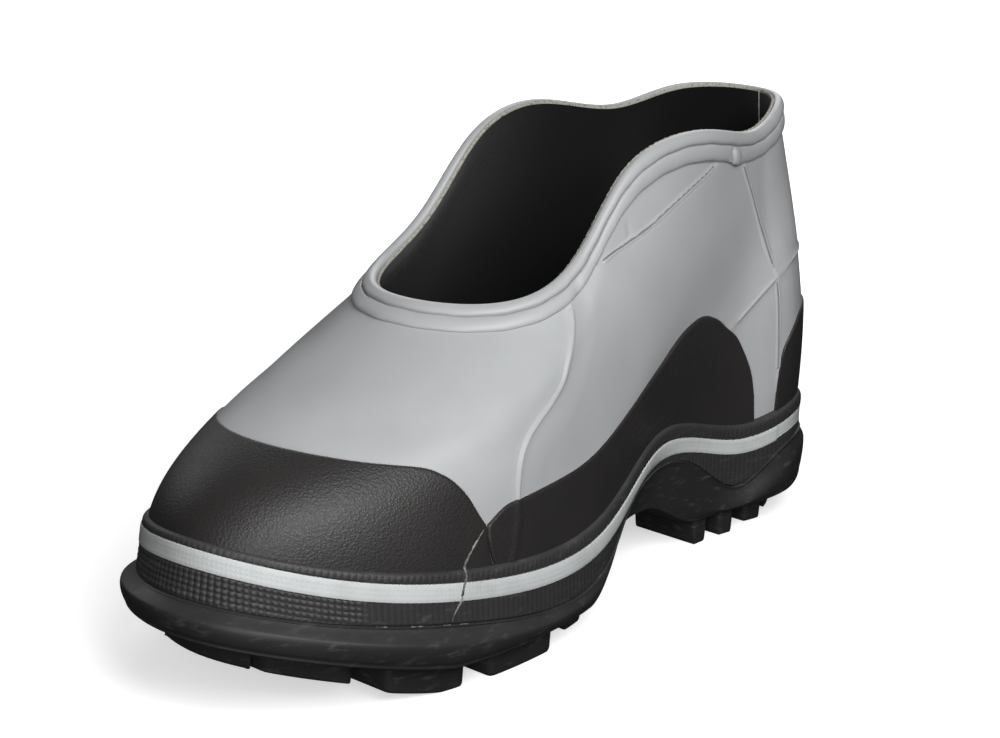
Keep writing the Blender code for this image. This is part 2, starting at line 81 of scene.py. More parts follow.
# The last, a row for each station. along, side and line_z place the stripe line on the outside of the foxing,
# top_along, top_side and top_z the collar's inner edge: shares of LENGTH, BALL_WIDTH and COLLAR_HEIGHT, but
# line_z in millimetres. rise and flare lead the wall up from the line, drop and spread lead it down from the
# collar. cuff is how far the foxing rises above the line, lip_drop how far below it the outsole's lip ends,
# bulge how far the rim stands out and crest at which share of its depth.
COLUMNS = ("along", "side", "line_z", "top_along", "top_side", "top_z",
           "rise", "flare", "drop", "spread", "cuff", "lip_drop", "bulge", "crest")
STATIONS = {
    "heel": (0.000, 0.000, 31, 0.048, 0.000, 0.998, 60, 3, 47, 0.5, 8.5, 6, 2.5, 0.32),
    "medial_heel_corner": (0.103, -0.338, 38.5, 0.099, -0.175, 0.994, 60, 5, 47, 9.5, 8.5, 6, 2.2, 0.28),
    "medial_heel_side": (0.220, -0.326, 35, 0.189, -0.253, 0.964, 42, 3, 40, 3, 8.5, 6.5, 3, 0.75),
    "medial_waist": (0.372, -0.340, 45.5, 0.303, -0.294, 1.004, 35, 4.5, 40, 6, 8.5, 6, 0, 0.60),
    "medial_mid": (0.553, -0.489, 31.3, 0.420, -0.275, 0.961, 29.5, -1.5, 34.5, 9.5, 8.5, 12.3, 1.2, 0.45),
    "medial_ball": (0.756, -0.504, 34.6, 0.503, -0.276, 0.801, 30, -2.5, 34.5, 21.5, 7, 10.8, 4, 0.38),
    "medial_toe_corner": (0.914, -0.362, 45.6, 0.594, -0.238, 0.711, 30.5, -3, 34.5, 32, 6, 11.3, 4.5, 0.28),
    "toe": (1.000, -0.061, 54.5, 0.654, 0.000, 0.706, 31, -3, 32.5, 37.5, 5.4, 13, 4.5, 0.25),
    "lateral_toe_corner": (0.917, 0.332, 44.2, 0.594, 0.238, 0.711, 30.5, -3, 34.5, 32, 6, 11.3, 4.5, 0.28),
    "lateral_ball": (0.750, 0.489, 35, 0.503, 0.276, 0.801, 30, -2.5, 34.5, 21.5, 7, 10.8, 4, 0.38),
    "lateral_mid": (0.575, 0.499, 32.8, 0.420, 0.275, 0.961, 29.5, -1.5, 34.5, 9.5, 8.5, 12.3, 1.2, 0.45),
    "lateral_waist": (0.376, 0.387, 40.6, 0.303, 0.294, 1.004, 35, 4.5, 40, 6, 8.5, 6, 0, 0.60),
    "lateral_heel_side": (0.220, 0.329, 35, 0.189, 0.253, 0.964, 42, 3, 40, 3, 8.5, 6.5, 3, 0.75),
    "lateral_heel_corner": (0.103, 0.341, 38.5, 0.099, 0.175, 0.994, 60, 5, 47, 9.5, 8.5, 6, 2.2, 0.28),
}
TABLE = np.array(list(STATIONS.values()))
TURN = len(STATIONS)


def closed_spline(rows, t):
    """Closed cubic spline through the rows, one row at each whole t, smooth to its second derivative."""
    count = len(rows)
    system = 4 * np.eye(count) + np.roll(np.eye(count), 1, 0) + np.roll(np.eye(count), -1, 0)
    bend = np.linalg.solve(system, 6 * (np.roll(rows, -1, 0) - 2 * rows + np.roll(rows, 1, 0)))
    whole = np.floor(t).astype(int)
    start, end = whole % count, (whole + 1) % count
    far = (t - whole)[..., None]
    near = 1 - far
    bow = (near**3 - near) * bend[start] + (far**3 - far) * bend[end]
    return near * rows[start] + far * rows[end] + bow / 6


def open_spline(points, s):
    """Curve through the points, each a whole s apart, its slope at a point that of its two neighbours."""
    rows = np.array(points, float)
    slope = np.gradient(rows, axis=0)
    start = np.clip(np.floor(s).astype(int), 0, len(rows) - 2)
    far = (s - start)[..., None]
    return (rows[start] * (1 + 2 * far) * (1 - far)**2 + rows[start + 1] * far**2 * (3 - 2 * far)
            + slope[start] * far * (1 - far)**2 - slope[start + 1] * far**2 * (1 - far))


def profile(points, count):
    """This many points of the curve through the given ones, evenly spaced in s."""
    return open_spline(points, np.linspace(0, len(points) - 1, count))


def sizes(t):
    """Every column of the station table at t."""
    return dict(zip(COLUMNS, np.moveaxis(closed_spline(TABLE, t), -1, 0)))


def stripe_line(t):
    """Centre line of the stripe, on the outside of the foxing."""
    size = sizes(t)
    return np.stack([size["side"] * BALL_WIDTH, size["along"] * LENGTH, size["line_z"]], -1)


def unit(vectors):
    """Each vector, brought to length 1."""
    return vectors / np.linalg.norm(vectors, axis=-1, keepdims=True)


def plan_normal(line, t):
    """Level unit normal of a closed line, pointing out of the shoe."""
    ahead = line(t + STEP) - line(t - STEP)
    return unit(np.stack([-ahead[..., 1], ahead[..., 0], np.zeros_like(t)], -1))


def hump(t, place, reach, size):
    """Bell of this size at the same place on both sides of the foot."""
    from_heel = np.minimum(t % TURN, TURN - t % TURN)
    return size * np.exp(-((from_heel - place) / reach)**2)


def lean_below(t):
    """How far the wall comes in for each millimetre down from the stripe line."""
    return hump(t, *WAIST_LEAN) + hump(t, *TOE_LEAN)


def outline(t, out, z):
    """Points beside the stripe line, moved out level and set at height z."""
    points = stripe_line(t) + plan_normal(stripe_line, t) * np.broadcast_to(out, t.shape)[..., None]
    points[..., 2] = z
    return points


def leaning(t, out, z):
    """Points beside the wall's foot, moved out level from where it leans to and set at height z."""
    return outline(t, out - lean_below(t) * (sizes(t)["line_z"] - z), z)


def smooth(share):
    """0 below share 0, 1 above share 1, and an S-curve between them."""
    share = np.clip(share, 0, 1)
    return share**2 * (3 - 2 * share)


def ground(y):
    """Height of the tread's lowest face: the floor, then the toe spring."""
    past = np.clip((y / LENGTH - SPRING_START) / (1 - SPRING_START), 0, None)
    return TOE_SPRING * past**SPRING_POWER


def arch(y, face):
    """Share of the arch's rise in this face: 0 at the heel and the ball, 1 between them, in smooth slopes."""
    slopes = [(y / LENGTH - low) / (high - low) for low, high in ARCH_SLOPES[face]]
    return smooth(np.minimum(*slopes))


def bed(y):
    """Top of the outsole inside the upper."""
    return ground(y) + LUG_HEIGHT + PLATE + ARCH_RISE["bed"] * arch(y, "bed")


def bed_beside(t, out):
    """Height of the bed where the wall's foot, moved out level, stands on it."""
    return bed(leaning(t, out, bed(stripe_line(t)[..., 1]))[..., 1])


def root(t, y):
    """Underside of the outsole between the lugs: bevelled at the back, its arch higher on the medial side."""
    medial = 0.5 + 0.5 * np.sin(2 * np.pi * t / TURN)
    rise = ARCH_RISE["lateral"] + (ARCH_RISE["medial"] - ARCH_RISE["lateral"]) * medial
    bevel = HEEL_BEVEL * smooth(1 - y / LENGTH / BEVEL_START)
    return ground(y) + LUG_HEIGHT + rise * arch(y, "root") + bevel


def lip_top(t):
    """Height of the outsole's lip, which dips on both sides of the heel."""
    size = sizes(t)
    return size["line_z"] - size["lip_drop"] - hump(t, *HEEL_DIP)


def rim(t, out, down):
    """Rim points: a share out to its bulge, and down: -1 at the lip, 0 at its crest, 1 at its base."""
    size = sizes(t)
    top, base = lip_top(t), root(t, stripe_line(t)[..., 1])
    share = size["crest"] + (size["crest"] if down < 0 else 1 - size["crest"]) * down
    return leaning(t, out * size["bulge"], top - share * (top - base))


def reached(rows):
    """Distance from the first row of points to each row, measured from one to the next."""
    steps = np.linalg.norm(np.diff(rows, axis=0), axis=-1)
    return np.concatenate([np.zeros_like(rows[:1, ..., 0]), np.cumsum(steps, axis=0)])


def from_ends(count):
    """Share of the whole way from the nearer end, at this many even steps."""
    share = np.linspace(0, 1, count)
    return np.minimum(share, 1 - share)


def steps_round(count):
    """t at this many even steps round the foot."""
    return np.arange(count) * TURN / count


def shut(grid):
    """The grid with its first column repeated at the end, so that it closes round the shoe."""
    return np.concatenate([grid, grid[:, :1]], axis=1)


def tube(rows):
    """Grid of a closed section carried round the shoe, from a list of its rows."""
    return shut(np.array([*rows, rows[0]]))


def bridge(loop, steps):
    """Surface inside a closed loop: straight rungs from each point to the one across from it."""
    near = loop[:len(loop) // 2 + 1]
    far = loop[-np.arange(len(near))]
    return near + (far - near) * np.linspace(0, 1, steps)[:, None, None]


CREST = rim(steps_round(SOLID_COLUMNS), 1.0, 0.0)
CENTRE = np.array([*(CREST.min(0) + CREST.max(0))[:2] / 2, 0.0])
ROUND = steps_round(AROUND)


def make_piece(name, grids, material, nodes):
    """Mesh object from millimetre grids: each cell a quad, shared edges merged, faces out, shaded smooth.

    Its UV map holds metres along each grid's middle row and up its columns. It rides on the shoe's one body,
    takes the given material and stands for the named solids.
    """
    points, spread, quads, start = [], [], [], 0
    for grid in grids:
        index = start + np.arange(grid[..., 0].size).reshape(grid.shape[:2])
        corners = [index[:-1, :-1], index[:-1, 1:], index[1:, 1:], index[1:, :-1]]
        quads.append(np.stack(corners, -1).reshape(-1, 4))
        up = reached(grid)
        along = np.broadcast_to(reached(grid[len(grid) // 2]), up.shape)
        spread.append(np.stack([along, up], -1).reshape(-1, 2))
        points.append(grid.reshape(-1, 3))
        start += grid[..., 0].size
    points, spread, quads = np.concatenate(points), np.concatenate(spread), np.concatenate(quads)
    mesh = bpy.data.meshes.new(name)
    mesh.from_pydata(((points - CENTRE) * MM).tolist(), [], quads.tolist())
    mesh.uv_layers.new(name="surface").data.foreach_set("uv", (spread[quads.ravel()] * MM).ravel())
    shape = bmesh.new()
    shape.from_mesh(mesh)
    bmesh.ops.remove_doubles(shape, verts=shape.verts, dist=MERGE_M)
    bmesh.ops.recalc_face_normals(shape, faces=shape.faces)
    shape.to_mesh(mesh)
    shape.free()
    mesh.shade_smooth()
    mesh.set_sharp_from_angle(angle=np.radians(SHARP_DEGREES))
    mesh.materials.append(material)
    piece = bpy.data.objects.new(name, mesh)
    bpy.context.scene.collection.objects.link(piece)
    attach(piece, "root")
    if nodes:
        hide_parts(*nodes)


def linear(colour):
    """Linear RGBA of an sRGB hex colour."""
    channels = np.array([int(colour[i:i + 2], 16) / 255 for i in (0, 2, 4)])
    return (*np.where(channels <= 0.04045, channels / 12.92, ((channels + 0.055) / 1.055)**2.4), 1.0)


def add_node(material, kind, inputs, **settings):
    """Shader node of a kind, with its settings. An input that is a socket is linked, any other is a value."""
    node = material.node_tree.nodes.new("ShaderNode" + kind)
    for name, value in settings.items():
        setattr(node, name, value)
    for name, value in inputs.items():
        if isinstance(value, bpy.types.NodeSocket):
            material.node_tree.links.new(value, node.inputs[name])
        else:
            node.inputs[name].default_value = value
    return node


def new_material(name, shader_inputs):
    """New material with these values on its Principled shader, returned with that shader."""
    material = bpy.data.materials.new(name)
    material.use_nodes = True
    shader = material.node_tree.nodes["Principled BSDF"]
    for key, value in shader_inputs.items():
        shader.inputs[key].default_value = value
    return material, shader


def join(material, shader, **links):
    """Link sockets to the shader's inputs, named with underscores for spaces."""
    for name, socket in links.items():
        material.node_tree.links.new(socket, shader.inputs[name.replace("_", " ")])


def moulded_black_rubber(name, dull, dusty_and_lit):
    """Vulcanised rubber from a blasted mould: dull black, scuffed along the shoe, with paler clouds of dust
    that are stronger where it faces up, as painted top light.
    """
    scuffed = "4e4e4f"
    dust_mm, scuff_mm, pore_mm, pore_depth = 26.0, 8.0, 0.9, 0.05
    material, shader = new_material(name, {"IOR": 1.52, "Specular IOR Level": 0.30})
    place = add_node(material, "TexCoord", {})
    cloud = add_node(material, "TexNoise", {
        "Vector": place.outputs["Object"], "Scale": 1 / (dust_mm * MM), "Detail": 6.0, "Roughness": 0.62})
    # Painted top light: the pale dust colour is mixed in more where the surface faces up, less where it faces
    # down
    facing = add_node(material, "SeparateXYZ", {"Vector": place.outputs["Normal"]})
    painted_top_light = add_node(material, "MapRange", {
        "Value": facing.outputs["Z"], "From Min": 0.1, "From Max": 0.9, "To Min": 0.15, "To Max": 1.4})
    dust_and_top_light = add_node(material, "Math", {
        0: cloud.outputs["Fac"], 1: painted_top_light.outputs["Result"]}, operation="MULTIPLY")
    dust_and_light_colour = add_node(material, "Mix", {
        "Factor": dust_and_top_light.outputs["Value"], "A": linear(dull), "B": linear(dusty_and_lit)}, data_type="RGBA")
    level = add_node(material, "VectorMath", {
        0: place.outputs["Object"], 1: (1.0, 1.0, 4.0)}, operation="MULTIPLY")
    rub = add_node(material, "TexNoise", {
        "Vector": level.outputs["Vector"], "Scale": 1 / (scuff_mm * MM), "Detail": 8.0, "Roughness": 0.7})
    scuff = add_node(material, "MapRange", {
        "Value": rub.outputs["Fac"], "From Min": 0.55, "From Max": 0.80})
    colour = add_node(material, "Mix", {
        "Factor": scuff.outputs["Result"], "A": dust_and_light_colour.outputs["Result"],
        "B": linear(scuffed)}, data_type="RGBA")
    matt = add_node(material, "MapRange", {
        "Value": cloud.outputs["Fac"], "From Min": 0.3, "From Max": 0.7, "To Min": 0.40, "To Max": 0.58})
    pores = add_node(material, "TexNoise", {
        "Vector": place.outputs["Object"], "Scale": 1 / (pore_mm * MM), "Detail": 3.0})
    bump = add_node(material, "Bump", {
        "Height": pores.outputs["Fac"], "Distance": pore_depth * MM, "Strength": 1.0})
    join(material, shader, Base_Color=colour.outputs["Result"], Roughness=matt.outputs["Result"],
         Normal=bump.outputs["Normal"])
    return material


BLACK_RUBBER = moulded_black_rubber("moulded_black_rubber", "222222", "363637")

# The rim's section: a hollow under the lip, a full crest, a face below it and a fine bead at its lower edge
RIM_SECTION = [(0.10, -0.85), (0.34, -0.60), (0.66, -0.34), (0.90, -0.12), (1.00, 0.05), (1.00, 0.18),
               (0.94, 0.32), (0.84, 0.46), (0.70, 0.60), (0.54, 0.70), (0.50, 0.76), (0.46, 0.83),
               (0.16, 0.90), (-0.20, 0.94)]
RIM_STEPS = 49

# How far in and down the lip's edge is rounded
LIP_ROUND = (0.5, 0.3)
UNDERSIDE_RUNGS = 49
INSIDE_RUNGS = 9
HIDDEN_RUNGS = 3
UNDERSIDE_RIB_MM = 5.0
UNDERSIDE_RIB_DEPTH = 0.5
RIB_FADE = 0.08

lip, under = lip_top(ROUND), root(ROUND, stripe_line(ROUND)[:, 1])
lip_section = [(-FOXING, bed_beside(ROUND, -FOXING)), (-FOXING, lip), (LIP_STEP - LIP_ROUND[0], lip),
               (LIP_STEP, lip - LIP_ROUND[1])]
side = [leaning(ROUND, out, z) for out, z in lip_section]
side += [rim(ROUND, out, down) for out, down in profile(RIM_SECTION, RIM_STEPS)]
side = np.array([*side, leaning(ROUND, -ROOT_INSET, under)])
underside = bridge(side[-1], UNDERSIDE_RUNGS)
ribbed = smooth(from_ends(UNDERSIDE_RUNGS)[:, None] / RIB_FADE) * arch(underside[..., 1], "root")
underside[..., 2] += UNDERSIDE_RIB_DEPTH * ribbed * np.sin(2 * np.pi * underside[..., 1] / UNDERSIDE_RIB_MM)
outsole_grids = [shut(side), underside, bridge(side[0], INSIDE_RUNGS)]
make_piece("outsole_body", outsole_grids, BLACK_RUBBER, ["outsole"])


# Tread lugs: blocks of the same moulding under the heel and the forefoot, with drafted sides so that they
# leave the mould, and small rounds at their edges. The front ones lift with the toe spring.

# Front and back end on the outline as t of the medial side, inset from it, half gap to the centre line
# and lift. The end lugs run across the toe and the back of the heel.
LUGS = [
    (6.42, 5.81, 5, 5, 2), (5.58, 5.02, 4, 9, 0), (4.85, 4.37, 3.2, 5, 0), (4.12, 3.93, 8.5, 9, 0),
    (2.46, 2.32, 1, 10, 0), (2.15, 1.99, 1, 8, 0), (1.72, 1.46, 6.5, 10, 0), (1.10, 0.88, 10.7, 8, 0),
]
END_LUGS = [(6.50, 7.50, 5, 2), (-0.66, 0.66, 12, 0)]
LUG_EDGE_POINTS = 9
LUG_LOOP = 72
LUG_RUNGS = 9

# Section of a lug's side: millimetres out from its plan, and share of its height
LUG_SECTION = [(0.6, 1.2), (0.45, 0.9), (0.2, 0.45), (0.0, 0.16), (-0.12, 0.08), (-0.4, 0.025), (-0.8, 0.0)]


def lug(front, back, inset, half_gap, lift):
    """Grids of a block: its plan follows the sole's edge and is closed at the centre gap or by its chord."""
    t = np.linspace(front, back, LUG_EDGE_POINTS)
    plan = outline(t, -inset, 0.0)[:, :2]
    if half_gap:
        middle = (plan + outline(TURN - t, -inset, 0.0)[:, :2])[[0, -1], 0] / 2
        inner = np.column_stack([middle + np.sign(plan[0, 0] - middle[0]) * half_gap, plan[[0, -1], 1]])
        plan = np.concatenate([plan, inner[::-1]])
    corners = np.concatenate([plan, plan[:1]])
    way = reached(corners)
    at = np.linspace(0, way[-1], LUG_LOOP + 1)[:-1]
    loop = np.column_stack([np.interp(at, way, corners[:, k]) for k in (0, 1)])
    loop = (np.roll(loop, 1, 0) + 2 * loop + np.roll(loop, -1, 0)) / 4
    ahead = np.roll(loop, -1, 0) - np.roll(loop, 1, 0)
    normal = unit(np.column_stack([ahead[:, 1], -ahead[:, 0]]))
    turns = np.sign(np.sum(loop[:, 0] * ahead[:, 1] - loop[:, 1] * ahead[:, 0]))
    rings = []
    for out, height in LUG_SECTION:
        ring = loop + normal * out * turns
        rings.append(np.column_stack([ring, ground(ring[:, 1]) + lift + (LUG_HEIGHT - lift) * height]))
    rings = np.array(rings)
    return [shut(rings), bridge(rings[-1], LUG_RUNGS), bridge(rings[0], HIDDEN_RUNGS)]


lug_rows = LUGS + [(TURN - front, TURN - back, *rest) for front, back, *rest in LUGS]
lug_rows += [(front, back, inset, 0, lift) for front, back, inset, lift in END_LUGS]
make_piece("tread_lugs", [grid for row in lug_rows for grid in lug(*row)], BLACK_RUBBER, [])


# Insole: a die-cut sheet of textile-faced foam, laid loose on the outsole inside the wall. Its middle sinks a
# little where a foot has stood.

WALL = 2.5
WRAP_GAP = 0.45
INSOLE = 3.0
INSOLE_SINK = 0.8
INSOLE_RUNGS = 41
SINK_FADE = 0.3

# Section of the sheet's edge: millimetres out from its plan and up from its underside
INSOLE_SECTION = [(-1.0, 0.0), (-0.2, 0.0), (0.0, 0.4), (0.0, INSOLE - 0.9), (-0.3, INSOLE - 0.25),
                  (-1.2, INSOLE)]


def lining_knit(name, pale, dark, pitch_mm, depth_mm):
    """Dull cotton knit: rows of small loops, drawn as crossed waves on the surface's own UV map."""
    cloud_mm = 18.0
    material, shader = new_material(name, {
        "IOR": 1.45, "Specular IOR Level": 0.15, "Roughness": 0.92, "Sheen Weight": 0.12,
        "Sheen Roughness": 0.5})
    place = add_node(material, "TexCoord", {})
    wave_scale = np.pi / 10 / (pitch_mm * MM)
    wales = add_node(material, "TexWave", {
        "Vector": place.outputs["UV"], "Scale": wave_scale, "Distortion": 0.6}, bands_direction="X")
    courses = add_node(material, "TexWave", {
        "Vector": place.outputs["UV"], "Scale": wave_scale, "Distortion": 0.6}, bands_direction="Y")
    loops = add_node(material, "Math", {
        0: wales.outputs["Fac"], 1: courses.outputs["Fac"]}, operation="MULTIPLY")
    cloud = add_node(material, "TexNoise", {
        "Vector": place.outputs["Object"], "Scale": 1 / (cloud_mm * MM), "Detail": 4.0})
    shade = add_node(material, "Math", {
        0: loops.outputs["Value"], 1: cloud.outputs["Fac"]}, operation="MULTIPLY")
    colour = add_node(material, "Mix", {
        "Factor": shade.outputs["Value"], "A": linear(dark), "B": linear(pale)}, data_type="RGBA")
    bump = add_node(material, "Bump", {
        "Height": loops.outputs["Value"], "Distance": depth_mm * MM, "Strength": 1.0})
    join(material, shader, Base_Color=colour.outputs["Result"], Normal=bump.outputs["Normal"])
    return material


BLACK_KNIT = lining_knit("black_cotton_knit", "111112", "070708", 0.8, 0.05)

insole_out = -(FOXING + WRAP_GAP + WALL + 2 * GAP)
insole_z = bed_beside(ROUND, insole_out) + GAP
insole_side = np.array([leaning(ROUND, insole_out + out, insole_z + up) for out, up in INSOLE_SECTION])
insole_top = bridge(insole_side[-1], INSOLE_RUNGS)
insole_top[..., 2] -= INSOLE_SINK * smooth(from_ends(INSOLE_RUNGS)[:, None] / SINK_FADE)
insole_grids = [shut(insole_side), insole_top, bridge(insole_side[0], HIDDEN_RUNGS)]
make_piece("insole_sheet", insole_grids, BLACK_KNIT, ["insole"])


# Upper: a shell of grey rubber laid up over a knit lining on the last and cured with it. Its panels
# overlap at raised seams, and it is open at the collar and underneath.

SHELL = 1.6
SHELL_TOP = 0.8
UPPER_ROWS = 118
INNER_ROWS = 24

# Seams of the medial side, as (t, v) points on the wall; the lateral side has the same
SEAMS = {
    "instep": [(5.38, 0.91), (5.35, 0.86), (5.31, 0.80), (5.22, 0.71), (5.10, 0.63), (5.10, 0.575),
               (5.14, 0.53), (5.14, 0.49), (5.11, 0.453), (5.04, 0.40), (4.93, 0.33), (4.82, 0.258)],
    "quarter": [(4.76, 0.895), (4.60, 0.865), (4.16, 0.80), (3.78, 0.78), (3.45, 0.803), (3.21, 0.833),
                (2.94, 0.872), (2.80, 0.90)],
    "back": [(2.24, 0.905), (2.16, 0.87), (1.96, 0.773), (1.75, 0.65), (1.62, 0.553), (1.54, 0.48),
             (1.50, 0.393), (1.48, 0.31), (1.46, 0.23), (1.45, 0.16)],
    "heel": [(2.16, 0.38), (2.07, 0.405), (1.96, 0.428), (1.80, 0.453), (1.62, 0.473), (1.42, 0.485),
             (1.20, 0.495), (0.60, 0.505), (0.00, 0.51)],
}

# How each seam shows: half width and height of its ridge, height of the overlapping panel's edge, in
# millimetres
SEAM_RELIEF = {"instep": (1.8, 0.35, 0.35), "quarter": (0.9, 0.0, -0.80), "back": (0.8, 0.0, 0.50),
               "heel": (1.6, 0.25, 0.30)}
SEAM_REACH = 14.0
REACH_FADE = 4.0
PANEL_EDGE = 1.2
PANEL_FADE = 9.0
LINE_POINTS = 30
STRIP_POINTS = 40
STRIP_FADE = 1 / 30
END_SINK = 0.3

# Slow waves of the hand-laid shell: height in millimetres, waves round the foot and up the wall, and phase
SWELLS = [(0.30, 3, 0.9, 0.0), (0.22, 5, -1.3, 1.0), (0.15, 9, 2.1, 2.0)]
SWELL_FADE = 0.2

# Soft hollows of the medial side: (t, v) points, half width and depth in millimetres. They
# are below the throat's corner, across the vamp where the foot bends, beside the quarter's seam and over
# the heel.
HOLLOWS = [
    ([(5.18, 0.90), (5.04, 0.80), (4.96, 0.70)], 4.0, 0.40),
    ([(5.55, 0.63), (6.00, 0.615), (6.50, 0.60), (7.00, 0.595)], 5.0, 0.25),
    ([(4.08, 0.84), (4.04, 0.815), (4.02, 0.785)], 1.3, 0.30),
    ([(1.74, 0.84), (1.68, 0.74), (1.66, 0.62)], 5.0, 0.45),
]


def collar_line(t):
    """Inner top edge of the collar."""
    size = sizes(t)
    return np.stack([size["top_side"] * BALL_WIDTH, size["top_along"] * LENGTH,
                     size["top_z"] * COLLAR_HEIGHT], -1)


def wall(t, v):
    """Outer face of the upper: a cubic Bezier from behind the foxing to the collar, straight below it."""
    size = {name: value[..., None] for name, value in sizes(t).items()}
    low_normal = plan_normal(stripe_line, t)
    top_normal = plan_normal(collar_line, t)
    foot = stripe_line(t) - (FOXING + WRAP_GAP) * low_normal
    collar = collar_line(t) + WALL * unit(top_normal * size["drop"] + UP * size["spread"])
    low_handle = foot + low_normal * size["flare"] + UP * size["rise"]
    top_handle = collar + top_normal * size["spread"] - UP * size["drop"]
    up = np.maximum(v, 0)[..., None]
    curve = (foot * (1 - up)**3 + 3 * low_handle * up * (1 - up)**2
             + 3 * top_handle * up**2 * (1 - up) + collar * up**3)
    below = 3 * size["rise"] * np.minimum(v, 0)[..., None]
    return curve + (UP + low_normal * lean_below(t)[..., None]) * below


def skin(t, v, out):
    """The wall's point at (t, v), moved out along the wall's own normal."""
    t, v, out = np.broadcast_arrays(np.asarray(t, float), np.asarray(v, float), np.asarray(out, float))
    along = wall(t + STEP, v) - wall(t - STEP, v)
    upward = wall(t, v + STEP) - wall(t, v - STEP)
    return wall(t, v) + out[..., None] * unit(np.cross(upward, along))


def v_above_line(t, height):
    """v at which the wall is this high above the stripe line, closed in on by repeated steps."""
    size = sizes(t)
    v = height / (3 * size["rise"])
    for _ in range(6):
        v = v + (height - wall(t, v)[..., 2] + size["line_z"]) / (3 * size["rise"])
    return v


def v_below_collar(t, depth):
    """v at which the wall is this far down from the collar, measured on the wall."""
    size = sizes(t)
    return 1 - depth / (3 * np.hypot(size["drop"], size["spread"]))


def along_wall(path, count):
    """t and v at equal distances along a curve through (t, v) points on the wall."""
    s = np.linspace(0, len(path) - 1, STRIP_POINTS * len(path))
    t, v = open_spline(path, s).T
    way = reached(skin(t, v, 0.0))
    return open_spline(path, np.interp(np.linspace(0, way[-1], count), way, s)).T


def mirrored(points):
    """The same (t, v) points on the lateral side."""
    return [(TURN - t, v) for t, v in points]


def across(points):
    """(t, v) points that run to the centre line, carried on down the other side."""
    turn = 2 * points[-1][0]
    return points + [(turn - t, v) for t, v in points[-2::-1]]


def both_sides(path):
    """The medial line and its lateral twin, or one line across the foot if it ends on the centre line."""
    return [across(path)] if path[-1][0] % (TURN / 2) == 0 else [path, mirrored(path)]


def beside(points, path, reach):
    """Signed distance of points from a line on the wall, positive to its left and inf past the reach."""
    t, v = along_wall(path, LINE_POINTS * len(path))
    line = skin(t, v, 0.0)
    left = np.cross(skin(t, v, 1.0) - line, np.gradient(line, axis=0))
    flat = points.reshape(-1, 3)
    near = np.flatnonzero(((flat > line.min(0) - reach) & (flat < line.max(0) + reach)).all(1))
    offset = flat[near] - line.mean(0)
    spine = line - line.mean(0)
    squares = (offset**2).sum(1)[:, None] + (spine**2).sum(1) - 2 * offset @ spine.T
    closest = squares.argmin(1)
    distance = np.sqrt(np.maximum(squares[np.arange(len(near)), closest], 0))
    sign = np.sign(((offset - spine[closest]) * left[closest]).sum(1))
    signed = np.full(len(flat), np.inf)
    signed[near] = distance * np.where(sign == 0, 1, sign)
    return signed.reshape(points.shape[:-1])


def seam_relief(points):
    """Height of the seams over the bare wall: a ridge along each, and a panel edge that fades on one side."""
    height = np.zeros(points.shape[:-1])
    for name, path in SEAMS.items():
        half_width, ridge, step = SEAM_RELIEF[name]
        for turn, line in zip((1, -1), both_sides(path)):
            away = beside(points, line, SEAM_REACH)
            near = np.isfinite(away)
            distance = np.where(near, away, SEAM_REACH) * turn
            height += np.where(near, ridge * np.exp(-(distance / half_width)**2), 0)
            edge = smooth(0.5 + distance / PANEL_EDGE) * np.exp(-np.abs(distance) / PANEL_FADE)
            height += np.where(near, step * edge * smooth((SEAM_REACH - np.abs(distance)) / REACH_FADE), 0)
    return height


def hollow_relief(points):
    """Height of the hollows: each a round trough along its line, fading at the ends."""
    height = np.zeros(points.shape[:-1])
    for path, half_width, depth in HOLLOWS:
        for line in both_sides(path):
            away = beside(points, line, 3 * half_width)
            height -= depth * np.exp(-(away / half_width)**2)
    return height


def seam_strip(path, step, turn, ridge, section):
    """Grid of a strip along a seam, on the shell's relief there, its section given across and out."""
    t, v = along_wall(path, STRIP_POINTS * len(path))
    line = skin(t, v, 0.0)
    normal = skin(t, v, 1.0) - line
    left = turn * unit(np.cross(normal, np.gradient(line, axis=0)))
    ends = smooth(from_ends(len(t)) / STRIP_FADE)
    rows = []
    for across_mm, out in section:
        relief = ridge + step * smooth(0.5 + across_mm / PANEL_EDGE) + swell(t, v)
        rows.append(line + left * across_mm + normal * (relief + out * ends - END_SINK * (1 - ends))[:, None])
    return np.array(rows)


def swell(t, v):
    """Slow waves of under a millimetre, as a hand-laid shell has, flat at the collar and at the foot."""
    wave = sum(height * np.sin(2 * np.pi * (around * t / TURN + up * v) + phase)
               for height, around, up, phase in SWELLS)
    return wave * smooth(v / SWELL_FADE) * smooth((1 - v) / SWELL_FADE)


def satin_grey_rubber():
    """Light grey rubber cured against a smooth cover: satin, faintly clouded, with a skin of tiny dimples."""
    pale, deep = "aeb0b2", "9c9e9f"
    cloud_mm, dimple_mm, dimple_depth = 34.0, 0.8, 0.02
    material, shader = new_material("satin_grey_rubber", {"IOR": 1.50, "Specular IOR Level": 0.45})
    place = add_node(material, "TexCoord", {})
    cloud = add_node(material, "TexNoise", {
        "Vector": place.outputs["Object"], "Scale": 1 / (cloud_mm * MM), "Detail": 5.0, "Roughness": 0.55})
    colour = add_node(material, "Mix", {
        "Factor": cloud.outputs["Fac"], "A": linear(deep), "B": linear(pale)}, data_type="RGBA")
    satin = add_node(material, "MapRange", {
        "Value": cloud.outputs["Fac"], "From Min": 0.3, "From Max": 0.7, "To Min": 0.36, "To Max": 0.48})
    dimple = add_node(material, "TexNoise", {
        "Vector": place.outputs["Object"], "Scale": 1 / (dimple_mm * MM), "Detail": 2.0})
    bump = add_node(material, "Bump", {
        "Height": dimple.outputs["Fac"], "Distance": dimple_depth * MM, "Strength": 1.0})
    join(material, shader, Base_Color=colour.outputs["Result"], Roughness=satin.outputs["Result"],
         Normal=bump.outputs["Normal"])
    return material


GREY_RUBBER = satin_grey_rubber()

